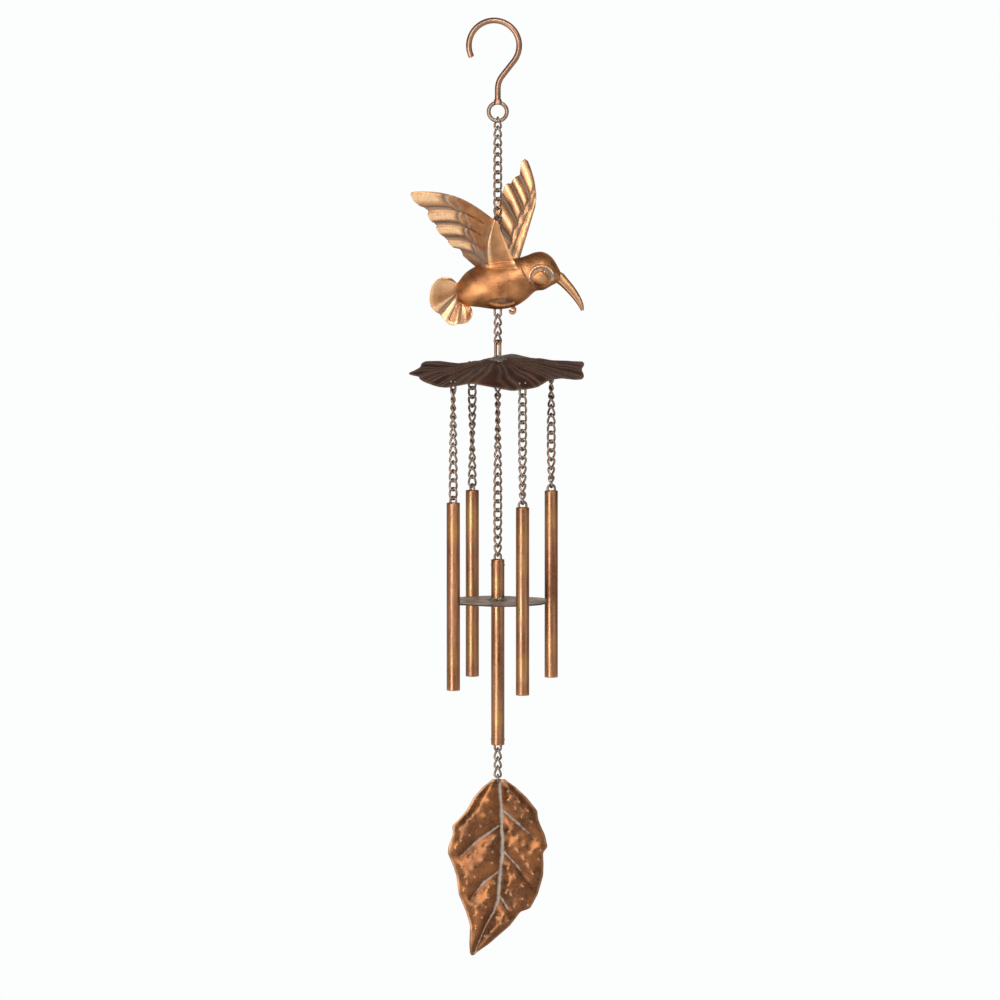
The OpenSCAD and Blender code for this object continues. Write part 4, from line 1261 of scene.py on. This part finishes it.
class CHIME_OT_bird_ends(bpy.types.Operator):
    """Stamps the tail fan, forms the beak and curls the feet"""

    bl_idname = "chime.bird_ends"
    bl_label = "Bird tail, beak and feet"

    def execute(self, context):
        u, v = np.meshgrid(np.linspace(0, 1, 90), np.linspace(0, 1, 200), indexing="ij")
        s = smooth_rows(TAIL_ROWS, v)
        lobe = np.searchsorted(TAIL_LOBES, v, side="right").clip(1, 3)
        k = (v - TAIL_LOBES[lobe - 1]) / (TAIL_LOBES[lobe] - TAIL_LOBES[lobe - 1])
        r = s[..., 1] + (s[..., 2] - 1.6 * (2 * k - 1) ** 4 - s[..., 1]) * u
        a = np.radians(s[..., 0])
        bulge = -1.8 * np.sin(math.pi * k) * u - 4 * u * u
        grid = np.stack([TAIL_C[0] + r * np.cos(a), bulge, TAIL_C[1] + r * np.sin(a)], -1)
        side = np.minimum(k, 1 - k)
        valley = bell(side / 0.07) * step(u / 0.2) * (np.abs(v - 0.5) < 0.45)
        vein = bell((k - 0.5) / 0.05) * step((u - 0.15) / 0.2) * step((0.92 - u) / 0.1)
        vein = vein * np.where(lobe == 1, 0.35, 1)
        lift = 0.6 * bell((k - 0.3) / 0.14) * u - valley - 0.45 * vein
        rub = 0.5 * bell((k - 0.3) / 0.2) * step(u / 0.3) + 0.7 * bell((u - 0.96) / 0.06)
        rub += 0.8 * bell((side - 0.13) / 0.05) * step(u / 0.3)
        grid = grid + normals(grid) * lift[..., None]
        data = {"patina": 0.95 * valley + 0.4 * vein, "rub": rub + 0.12}
        stamp_bird("bird_tail", "fan", grid, data, back_share=0.6)
        # Beak: two mandibles with a grey groove between them
        metal = stamped_copper()
        rings, sides = 60, 32
        t = np.linspace(0, 1, rings)[:, None]
        s = smooth_rows(BEAK_ROWS, t[:, 0])
        along = np.gradient(s[:, :2], axis=0)
        along /= np.linalg.norm(along, axis=1)[:, None]
        along = np.where(t < 0.03, [1.0, 0.0], along)
        # Rings that run this way round have faces that look outward
        turn = -2 * math.pi * np.arange(sides) / sides + 0 * t
        high = np.cos(turn)
        mouth = bell((high + 0.12) / 0.2) * np.minimum(1, (1 - t) * 6)
        rise, wide = s[:, 2:3] * high, s[:, 3:] * np.sin(turn) * (1 - 0.22 * mouth)
        grid = np.stack([s[:, :1] - rise * along[:, 1:], wide, s[:, 1:2] + BIRD_Z + rise * along[:, :1]], -1)
        # Grey tip and base, a painted highlight along the upper half and a fainter one below, painted shade on the
        # underside and stain on top
        data = {
            "patina": 0.95 * mouth + 0.6 * np.maximum(0, 1 - t * 7) + 0.7 * step((t - 0.76) / 0.16),
            "rub": 0.75 * bell((high - 0.42) / 0.16) + 0.2 * bell((high + 0.5) / 0.14),
            "pool": 0.85 * step((-high - 0.62) / 0.25) + 0.4 * step((high - 0.7) / 0.25),
        }
        data = {key: values.ravel() for key, values in data.items()}
        points, faces = grid.reshape(-1, 3), skin(rings, sides)
        place_piece("bird_beak_horn", points, faces, metal, "bird", ("bird_beak",), "antique_copper", data)
        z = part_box("bird_feet")[0][2] / MM + CLAW_RISE
        curl = arc((CLAW_X, z), CLAW_R, -170, 110, 30)
        points, faces = join([wire(curl + [0, y, 0], CLAW_WIRE / 2) for y in (-CLAW_Y, CLAW_Y)])
        place_piece("bird_claws", points, faces, metal, "bird", ("bird_feet",), "antique_copper")
        return {"FINISHED"}


# Canopy: direction, reach and height of the edge, as shares of the reach and the droop
LEAF_ROWS = np.array(
    [
        (0, 0.93, -0.38),
        (7, 0.98, -0.24),
        (14, 0.99, -0.12),
        (24, 0.84, -0.27),
        (34, 0.8, -0.19),
        (60, 0.78, -0.15),
        (78, 0.77, 0.02),
        (92, 0.76, -0.12),
        (108, 0.76, -0.34),
        (135, 0.75, -0.36),
        (152, 0.8, -0.22),
        (163, 0.85, -0.13),
        (172, 0.9, -0.26),
        (180, 1, -0.57),
        (188, 0.92, -0.65),
        (197, 0.865, -0.8),
        (212, 0.78, -0.95),
        (223, 0.77, -0.94),
        (247, 0.76, -0.72),
        (262, 0.77, -0.82),
        (282, 0.78, -1),
        (305, 0.77, -0.9),
        (318, 0.76, -0.66),
        (332, 0.8, -0.6),
        (343, 0.9, -0.7),
        (349, 0.98, -0.72),
        (355, 0.97, -0.54),
        (360, 0.93, -0.38),
    ]
)
LEAF_REACH, LEAF_DROOP, LEAF_SAG, LEAF_POWER = 66.5, 18.5, 4.0, 1.6
LEAF_TURN = np.linspace(0, 360, 361)
LEAF_SMOOTH = [
    smoothed(np.interp(LEAF_TURN[:-1], LEAF_ROWS[:, 0], column), 2.2, "wrap")[np.arange(361) % 360]
    for column in LEAF_ROWS.T[1:]
]
# The leaf's tip runs out to a thin point, with a slight waist on both sides of it
LEAF_TIP = LEAF_TURN[np.argmin(LEAF_SMOOTH[0] * np.cos(np.radians(LEAF_TURN)))]
TIP_WAIST = sum(bell((LEAF_TURN - LEAF_TIP - d) / 4) for d in (-6, 6))
LEAF_SMOOTH[0] = LEAF_SMOOTH[0] * (1 + 0.028 * bell((LEAF_TURN - LEAF_TIP) / 2.0) - 0.045 * TIP_WAIST)


def leaf_edge(a):
    """Reach and height of the canopy's edge at a direction in degrees."""
    reach, fall = (np.interp(np.mod(a, 360), LEAF_TURN, row) for row in LEAF_SMOOTH)
    return LEAF_REACH * reach, LEAF_DROOP * fall


def leaf_height(x, y):
    """Height of the canopy's upper face against its middle, with the hollow on its long side."""
    turn = np.arctan2(y, x)
    reach, fall = leaf_edge(np.degrees(turn))
    share = np.hypot(x, y) / reach
    hollow = np.maximum(0, np.cos(turn - math.radians(160))) ** 6 * np.sin(math.pi * np.minimum(share, 1)) ** 2
    return fall * share**LEAF_POWER - LEAF_SAG * hollow


class CHIME_OT_canopy(bpy.types.Operator):
    """Stamps the canopy leaf with its fan of ridges, and solders the loop into it"""

    bl_idname = "chime.canopy"
    bl_label = "Canopy leaf"

    def execute(self, context):
        s, turn = np.meshgrid(
            np.linspace(0.004, 1, 60), np.radians(np.linspace(0, 360, 480, endpoint=False)), indexing="ij"
        )
        reach, _ = leaf_edge(np.degrees(turn))
        x, y = s * reach * np.cos(turn), s * reach * np.sin(turn)
        # Fine veins from the middle, which fork once and lean along the leaf, on soft broad folds
        veins, folds, sharp = 11, 7, 24
        bent = turn + 0.22 * s * np.sin(2 * turn) + 0.018 * np.sin(12 * s + 5 * turn) * step((s - 0.2) / 0.2)
        lean = veins * bent + 0.7 * np.sin(2 * turn)
        vein = np.cos(lean) ** sharp + 0.7 * step((s - 0.3) / 0.1) * np.cos(lean + 1.57 - 0.5 * s) ** sharp
        fold = np.cos(folds * bent + 0.5) * step((s - 0.1) / 0.5)
        start = step((s - 0.06) / 0.2)
        fade = start * (1 - 0.85 * step((s - 0.75) / 0.25))
        relief = 0.6 * vein + 0.4 * fold + 0.15 * np.sin(x / 2.3) * np.sin(y / 2.9)
        z = leaf_height(x, y) + relief * fade
        grid = np.stack([x, y, z + CANOPY_Z], -1)
        # Painted sheen on the veins, strongest on those that run along the leaf's length, and a painted highlight
        # along the edge
        rub = vein * start * (0.5 + 0.5 * np.abs(np.cos(turn))) + 0.7 * bell((s - 1) / 0.02)
        data = {"patina": np.clip(0.4 - 0.5 * fold - vein, 0, 1), "rub": np.clip(rub, 0, 1)}
        points, faces, data = ring_sheet(grid, SHEET, data)
        metal = dark_bronze()
        place_piece("canopy_leaf_sheet", points, faces, metal, "canopy", ("canopy_leaf",), "dark_bronze", data)
        # Lump of solder round the loop
        s, t = np.meshgrid(np.linspace(0.02, 1, 10), np.linspace(0, 2 * math.pi, 40, endpoint=False), indexing="ij")
        r = (6.2 + 0.8 * np.sin(3 * t) + 0.5 * np.sin(5 * t + 1)) * s
        x, y = r * np.cos(t), r * np.sin(t) - 1.5
        z = CANOPY_Z + leaf_height(x, y) + 0.15 + 2.7 * (1 - s**2) * (1 + 0.2 * np.sin(4 * t + 2 * s))
        points, faces, _ = ring_sheet(np.stack([x, y, z], -1), 0.4, {})
        place_piece("canopy_solder", points, faces, soft_solder(), "canopy", slot="solder")
        return {"FINISHED"}


def place_tube(name, node, body, length, at):
    """Cuts a drawn tube with slightly rounded ends, hung from the middle of its top end."""
    r, turns = size("tube_d") / 2, 64
    bore = r - size("tube_wall")
    profile = [(bore, -length + 0.2), (bore, -0.2), (bore + 0.15, 0), (r - 0.25, 0), (r - 0.08, -0.08), (r, -0.3)]
    profile += [(r, z) for z in np.linspace(-2, -length + 2, 56)]
    profile += [(r, -length + 0.3), (r - 0.08, -length + 0.08), (r - 0.25, -length), (bore + 0.15, -length)]
    angle = 2 * math.pi * np.arange(turns)[:, None] / turns
    far, z = np.array(profile).T
    points = np.stack([far * np.cos(angle), far * np.sin(angle), z + 0 * angle], -1).reshape(-1, 3)
    end = np.minimum(-points[:, 2], points[:, 2] + length)
    # Red for about 8 mm at both ends, and straw next to it
    data = {"heat": 0.9 * bell(end / 8), "straw": 0.28 * bell((end - 21) / 9)}
    faces = skin(turns, len(profile), closed=True)
    place_piece(name, points + at, faces, drawn_copper(), body, (node,), "antique_copper", data)


class CHIME_OT_tubes(bpy.types.Operator):
    """Cuts the four chime tubes and the striker's tube"""

    bl_idname = "chime.tubes"
    bl_label = "Tubes"

    def execute(self, context):
        for i in range(len(TUBE_ANGLES)):
            x, y, _, top = tube_place(i)
            node = f"chime_tube_{i + 1}"
            place_tube(node + "_pipe", node, f"tube_{i + 1}", TUBE_L, (x, y, top))
        place_tube("striker_pipe", "striker_tube", "striker", STRIKER_L, (0, 0, STRIKER_TOP))
        return {"FINISHED"}


class CHIME_OT_striker(bpy.types.Operator):
    """Cuts the striking disc and solders it to its tube"""

    bl_idname = "chime.striker"
    bl_label = "Striking disc"

    def execute(self, context):
        reach, _, top = (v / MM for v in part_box("striker_disc")[1])
        around = np.linspace(0, 2 * math.pi, 160, endpoint=False)
        out = np.concatenate([np.linspace(5.1, reach - 0.6, 22), [reach - 0.3, reach - 0.05]])
        r, t = np.meshgrid(out, around, indexing="ij")
        # Slightly buckled towards its rounded rim
        buckle = (r / reach) ** 2 * (0.35 * np.sin(3 * t + 0.6) + 0.2 * np.sin(5 * t))
        z = top - 0.1 + buckle - 0.12 * step((r - reach + 0.5) / 0.5)
        grid = np.stack([r * np.cos(t), r * np.sin(t), z], -1)
        # Painted shade along the rounded rim, about half a millimetre wide
        points, faces, data = ring_sheet(grid, 0.85, {"rim": bell((r - reach) / 0.45)}, open_middle=True)
        metal = disc_bronze()
        place_piece("striker_plate", points, faces, metal, "striker", ("striker_disc",), "dark_bronze", data)
        s, t = np.meshgrid(np.linspace(0, 1, 9), around, indexing="ij")
        r = 5.02 + s * (2.2 + 0.5 * np.sin(3 * t) + 0.35 * np.sin(7 * t + 1))
        z = top + 2.1 * (1 - s) ** 1.6 * (1 + 0.2 * np.sin(5 * t + 1)) + 0.12
        points, faces, _ = ring_sheet(np.stack([r * np.cos(t), r * np.sin(t), z], -1), 0.3, {}, open_middle=True)
        place_piece("striker_fillet", points, faces, soft_solder(), "striker", ("striker_solder",), "solder")
        return {"FINISHED"}


# Sail: rows of depth, left edge, midrib and right edge down the leaf, and its veins
SAIL_ROWS = np.array(
    [
        (0, -3.5, 0.5, 5),
        (5.5, -11, 1.0, 13),
        (13.4, -17.8, 1.6, 21.4),
        (23.5, -23.4, 2.6, 29.4),
        (30, -29, 2.9, 30.2),
        (34.8, -34, 3.1, 32),
        (41.5, -33.6, 3.3, 35),
        (51, -37, 3.4, 37.3),
        (55.8, -37.4, 3.0, 33.9),
        (64, -34, 2.2, 34.2),
        (72.7, -31, 1.6, 34),
        (87, -29.2, 0.7, 29.8),
        (98.2, -24.6, -2.4, 24),
        (99.8, -23.7, -2.8, 17.2),
        (111, -20.6, -8.6, 8.8),
        (124.8, -21.1, -15.6, -7),
        (131.4, -20.7, -18.8, -16.4),
        (133, -19.8, -19.1, -18.4),
    ]
)
# Places of the nails: across the leaf, and down from its top
NAILS = [
    (7.4, 8.6), (7.4, 15.3), (4.5, 28.2), (8.3, 39.2), (8.3, 49.8), (7.4, 67), (7.9, 79.4), (5.9, 85.7),
    (13.1, 22), (16, 16.3), (17.9, 28.2), (22.7, 23), (25.6, 31.6), (15, 44), (15, 54.1), (19.8, 48.8),
    (19.3, 59.8), (22.7, 65.6), (26.5, 71.3), (25.6, 54.5), (32.3, 53.6), (30.8, 60.3), (13.1, 73.7),
    (18.9, 80.4), (10.2, 87.1), (18.9, 90), (22.7, 95), (12.2, 96.2), (3.5, 102.9), (-1.2, 104.3),
    (2.6, 108.6), (7.4, 106.2), (-5.1, 114.8), (-9.9, 118.7), (-7, 15.3), (-12.7, 19.1), (-18.9, 26.3),
    (-5.1, 23.9), (-9.9, 26.8), (-23.3, 30.6), (-12.7, 34.9), (-29, 37.3), (-21.3, 42.1), (-27.6, 45.9),
    (-31.9, 51.7), (-3.2, 44.5), (-9.4, 49.8), (-17, 53.6), (-20.9, 58.4), (-11.8, 60.3), (-3.6, 54.5),
    (-4.1, 62.7), (-18.9, 66.5), (-27.6, 66), (-17, 73.2), (-25.2, 73.7), (-23.3, 78.5), (-26.1, 84.2),
    (-2.2, 78.5), (-7.9, 82.8), (-15.6, 88), (-7, 89), (-8.9, 96.2), (-16.6, 95.7), (-18, 102.9),
    (-11.8, 104.3), (-16.6, 112.9),
]
SAIL_VEINS = [
    [(1.2, 1.9), (2.6, 23.9), (3.5, 50.7), (1.2, 77.5), (0.2, 90), (-3.2, 100.5), (-8.9, 110), (-17.5, 131)],
    [(0.2, 35.4), (-14, 45), (-27.6, 57.4)],
    [(0.2, 69.9), (-10, 77), (-19.4, 89)],
    [(3.5, 23), (15, 33), (27.9, 45)],
    [(4.5, 54.5), (15, 66), (25.1, 81.3)],
    [(1.6, 88), (6, 95), (9.8, 102.9)],
]
# How much narrower than the midrib each vein starts and ends
SAIL_TAPER = [(0, 0), (0.6, 0.3), (0.6, 0.3), (0.5, 0.4), (0.5, 1.1), (0.5, 0.7)]


class CHIME_OT_sail(bpy.types.Operator):
    """Stamps the sail leaf with veins and cushions, and raises its nails"""

    bl_idname = "chime.sail"
    bl_label = "Sail leaf"

    def execute(self, context):
        top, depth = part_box("sail_leaf")[1][2] / MM, SAIL_ROWS[-1, 0]
        u, d = np.meshgrid(np.linspace(-1, 1, 170), depth * np.linspace(0, 1, 270), indexing="ij")
        rows = [np.interp(d[0], SAIL_ROWS[:, 0], SAIL_ROWS[:, k]) for k in (1, 2, 3)]
        left, mid, right = (smoothed(row, 1.6)[None, :] + 0 * u for row in rows)
        a = np.abs(u)
        x = np.where(u < 0, mid + (left - mid) * a, mid + (right - mid) * a)
        rim = np.minimum(np.where(u < 0, x - left, right - x), np.minimum(d * 0.8, (depth - d) * 0.5))
        gap = np.full(x.shape, FAR_OFF)
        grey = np.zeros(x.shape)
        for (start, end), vein in zip(SAIL_TAPER, SAIL_VEINS):
            g, share = gap_to(vein, x, d)
            g = g + start + (end - start) * share
            gap = np.minimum(gap, g)
            # The stain in the groove thins out towards the vein's end
            grey = np.maximum(grey, (0.85 - 0.45 * step((share - 0.45) / 0.5)) * bell(g / 1.7))
        cushion = (1 - bell(gap / 5.5)) * (0.1 + 0.9 * step(rim / 8))
        for axis in (0, 1):
            cushion = np.apply_along_axis(smoothed, axis, cushion, 6.0)
        line = bell(gap / 1.1)
        nail = np.full(x.shape, FAR_OFF)
        knob = nail.copy()
        spots = []
        for nail_x, nail_d in NAILS:
            off = np.hypot(x - nail_x, d - nail_d)
            spot = np.unravel_index(np.argmin(off), off.shape)
            if gap[spot] > 2.2 and rim[spot] > 2:
                nail = np.minimum(nail, off)
                spots.append(spot)
                # Those along the midrib sit on broad knobs
                if 4 < nail_x < 8.5:
                    knob = np.minimum(knob, off)
        lift = 4.8 * cushion - 0.5 * line + 0.2 * np.sin(x / 2.6) * np.sin(d / 3.1)
        lift += 0.55 * bell(nail / 2.0) + 0.9 * bell(knob / 3.2)
        grid = np.stack([x, -lift, top - d], -1)
        # Stain and painted shade beside the veins and along the rim, half as much near the top
        pool = np.minimum(1, 0.65 * bell(gap / 3.4) + 0.45 * bell(rim / 2.6))
        data = {
            "patina": grey,
            "rub": 0.2 * bell((rim - 0.6) / 0.8) + 0.22 * bell(nail / 1.1),
            "pool": pool * (0.5 + 0.5 * step((d - 15) / 25)),
        }
        facing = -normals(grid)
        points, faces, data = sheet(grid, SHEET, data, flip=True, back_share=0.4)
        metal = stamped_copper(deep=True)
        place_piece("sail_leaf_sheet", points, faces, metal, "sail", ("sail_leaf",), "antique_copper", data)
        seats = bpy.data.meshes.new("nail_seats")
        seats.from_pydata([grid[spot] * MM for spot in spots], [], [])
        way = seats.attributes.new("facing", "FLOAT_VECTOR", "POINT")
        way.data.foreach_set("vector", np.array([facing[spot] for spot in spots], np.float32).ravel())
        tree, ids = nail_tree()
        values = {"Radius": size("nail_r") * MM, "Height": size("nail_h") * MM, "Material": metal}
        nails = grow("sail_nails", tree, ids, values, seats)
        rub = nails.data.attributes.get("rub") or nails.data.attributes.new("rub", "FLOAT", "POINT")
        rub.data.foreach_set("value", np.full(len(rub.data), 0.35, np.float32))
        settle(nails, "sail")
        return {"FINISHED"}


# The stage, in metres: floor, the camera's aim, distance, rise in degrees, seen width and sensor in mm
FLOOR_Z, FLOOR_R, FLOOR_MIDDLE_R, FLOOR_SIDES = -1.15, 6.0, 0.9, 96
AIM = Vector((0.00165, 0, -0.35775))
CAMERA_FAR, CAMERA_RISE, VIEW_WIDTH, SENSOR = 9.0, 5.5, 0.75, 36
# Lights: place, width and height, and watts
LIGHTS = (
    ("key_strip", (-0.85, -1.5, -0.35), (0.6, 2.4), 36),
    ("fill_softbox", (1.7, -1.2, 0.2), (0.5, 1.6), 4),
    ("top_softbox", (0.3, -1.5, 0.85), (1.1, 0.7), 26),
)


class CHIME_OT_stage(bpy.types.Operator):
    """Lays the pale floor, sets the soft lights, the white studio and the camera"""

    bl_idname = "chime.stage"
    bl_label = "Stage"

    def execute(self, context):
        scene = context.scene
        scene.view_settings.view_transform = "Standard"
        # Floor: a wide round sheet of paper, well below the sail
        n = FLOOR_SIDES
        turns = np.linspace(0, 2 * math.pi, n, endpoint=False)
        verts = [(r * math.cos(t), r * math.sin(t), FLOOR_Z) for r in (FLOOR_MIDDLE_R, FLOOR_R) for t in turns]
        faces = [tuple(range(n))] + [(i, n + i, n + (i + 1) % n, (i + 1) % n) for i in range(n)]
        mesh = bpy.data.meshes.new("floor")
        mesh.from_pydata(verts, [], faces)
        floor = bpy.data.objects.new("floor", mesh)
        scene.collection.objects.link(floor)
        material, tree = new_material("floor_paper")
        place = add(tree, "ShaderNodeTexCoord").outputs["Object"]
        # Paper fibre about 4 mm long, which only the shadow side shows
        fibre = add(tree, "ShaderNodeTexNoise", {"Vector": place, "Scale": 1 / (4 * MM)}).outputs[0]
        # The paper keeps the shadow under the chime and runs out into the white of the studio
        flat = add(tree, "ShaderNodeVectorMath", {0: place, 1: (1, 1, 0)}, operation="MULTIPLY").outputs[0]
        far = add(tree, "ShaderNodeVectorMath", {0: flat}, operation="LENGTH").outputs["Value"]
        fibrous, white = (
            add(tree, "ShaderNodeMapRange", dict(enumerate(values)), **SOFT_RAMP).outputs[0]
            for values in ((fibre, 0.3, 0.7, 0.0, 0.04), (far, 0.5, 2.2, 0.8, 1.0))
        )
        greys = {0: fibrous, 6: tint("backdrop"), 7: (0.6, 0.6, 0.6, 1)}
        paper = add(tree, "ShaderNodeMix", greys, **COLOUR_MIX).outputs[2]
        matt = add(tree, "ShaderNodeBsdfDiffuse", {0: paper}).outputs[0]
        glow = add(tree, "ShaderNodeEmission", {0: tint("backdrop"), 1: 1.0}).outputs[0]
        ray = add(tree, "ShaderNodeLightPath").outputs
        seen = ray["Is Camera Ray"]
        for kind in ("Is Glossy Ray", "Is Transmission Ray"):
            seen = add(tree, "ShaderNodeMath", {0: seen, 1: ray[kind]}).outputs[0]
        share = add(tree, "ShaderNodeMath", {0: seen, 1: white}, operation="MULTIPLY", use_clamp=True).outputs[0]
        mixed = add(tree, "ShaderNodeMixShader", {0: share, 1: matt, 2: glow}).outputs[0]
        add(tree, "ShaderNodeOutputMaterial", {0: mixed})
        mesh.materials.append(material)
        # Studio: white all round to the eye, and in the metal where it mirrors what is behind the chime
        world = bpy.data.worlds.new("studio")
        world.use_nodes = True
        tree = world.node_tree
        tree.nodes.clear()
        way = add(tree, "ShaderNodeTexCoord").outputs["Generated"]
        way = add(tree, "ShaderNodeSeparateXYZ", {0: way}).outputs
        # Black flags to the left and the right keep the metal's edges dark
        aside = add(tree, "ShaderNodeMath", {0: way["X"]}, operation="ABSOLUTE").outputs[0]
        behind, level = (
            add(tree, "ShaderNodeMapRange", dict(enumerate(values)), **SOFT_RAMP).outputs[0]
            for values in ((way["Y"], 0.5, 0.8), (aside, 0.6, 0.95, 0.25, 0.07))
        )
        ray = add(tree, "ShaderNodeLightPath").outputs
        mirror = add(tree, "ShaderNodeMath", {0: ray["Is Glossy Ray"], 1: ray["Is Transmission Ray"]}).outputs[0]
        mirror = add(tree, "ShaderNodeMath", {0: mirror, 1: behind}, operation="MULTIPLY").outputs[0]
        seen = add(tree, "ShaderNodeMath", {0: mirror, 1: ray["Is Camera Ray"]}, use_clamp=True).outputs[0]
        dim = add(tree, "ShaderNodeBackground", {0: (1.0, 0.98, 0.95, 1), 1: level}).outputs[0]
        pale = add(tree, "ShaderNodeBackground", {0: tint("backdrop"), 1: 1.0}).outputs[0]
        sky = add(tree, "ShaderNodeMixShader", {0: seen, 1: dim, 2: pale}).outputs[0]
        add(tree, "ShaderNodeOutputWorld", {0: sky})
        scene.world = world
        for name, where, (width, height), watts in LIGHTS:
            light = bpy.data.lights.new(name, "AREA")
            light.shape = "RECTANGLE"
            light.size, light.size_y = width, height
            light.energy = watts
            lamp = bpy.data.objects.new(name, light)
            lamp.location = where
            lamp.rotation_euler = (AIM - Vector(where)).to_track_quat("-Z", "Y").to_euler()
            scene.collection.objects.link(lamp)
        lens = bpy.data.cameras.new("camera")
        lens.sensor_width = SENSOR
        lens.lens = SENSOR * CAMERA_FAR / VIEW_WIDTH
        lens.clip_end = 50
        eye = bpy.data.objects.new("camera", lens)
        rise = math.radians(CAMERA_RISE)
        eye.location = AIM + CAMERA_FAR * Vector((0, -math.cos(rise), math.sin(rise)))
        eye.rotation_euler = (AIM - eye.location).to_track_quat("-Z", "Y").to_euler()
        scene.collection.objects.link(eye)
        scene.camera = eye
        return {"FINISHED"}


PIECES = (
    CHIME_OT_stage,
    CHIME_OT_hook,
    CHIME_OT_chains,
    CHIME_OT_fittings,
    CHIME_OT_bird_body,
    CHIME_OT_bird_wings,
    CHIME_OT_bird_ends,
    CHIME_OT_canopy,
    CHIME_OT_tubes,
    CHIME_OT_striker,
    CHIME_OT_sail,
)


class CHIME_PT_panel(bpy.types.Panel):
    """Sizes, colours and pieces of the wind chime"""

    bl_label = "Wind chime"
    bl_idname = "CHIME_PT_panel"
    bl_space_type = "VIEW_3D"
    bl_region_type = "UI"
    bl_category = "Chime"

    def draw(self, context):
        for group in (context.scene.chime_sizes, context.scene.chime_colours):
            box = self.layout.box()
            for key in group.__annotations__:
                box.prop(group, key)
        for piece in PIECES:
            self.layout.operator(piece.bl_idname)


CLASSES = (ChimeSizes, ChimeColours, *PIECES, CHIME_PT_panel)


def register():
    for cls in CLASSES:
        bpy.utils.register_class(cls)
    bpy.types.Scene.chime_sizes = bpy.props.PointerProperty(type=ChimeSizes)
    bpy.types.Scene.chime_colours = bpy.props.PointerProperty(type=ChimeColours)


def unregister():
    del bpy.types.Scene.chime_sizes
    del bpy.types.Scene.chime_colours
    for cls in reversed(CLASSES):
        bpy.utils.unregister_class(cls)


def main():
    register()
    for piece in PIECES:
        group, name = piece.bl_idname.split(".")
        getattr(getattr(bpy.ops, group), name)()


if __name__ == "__main__":
    main()
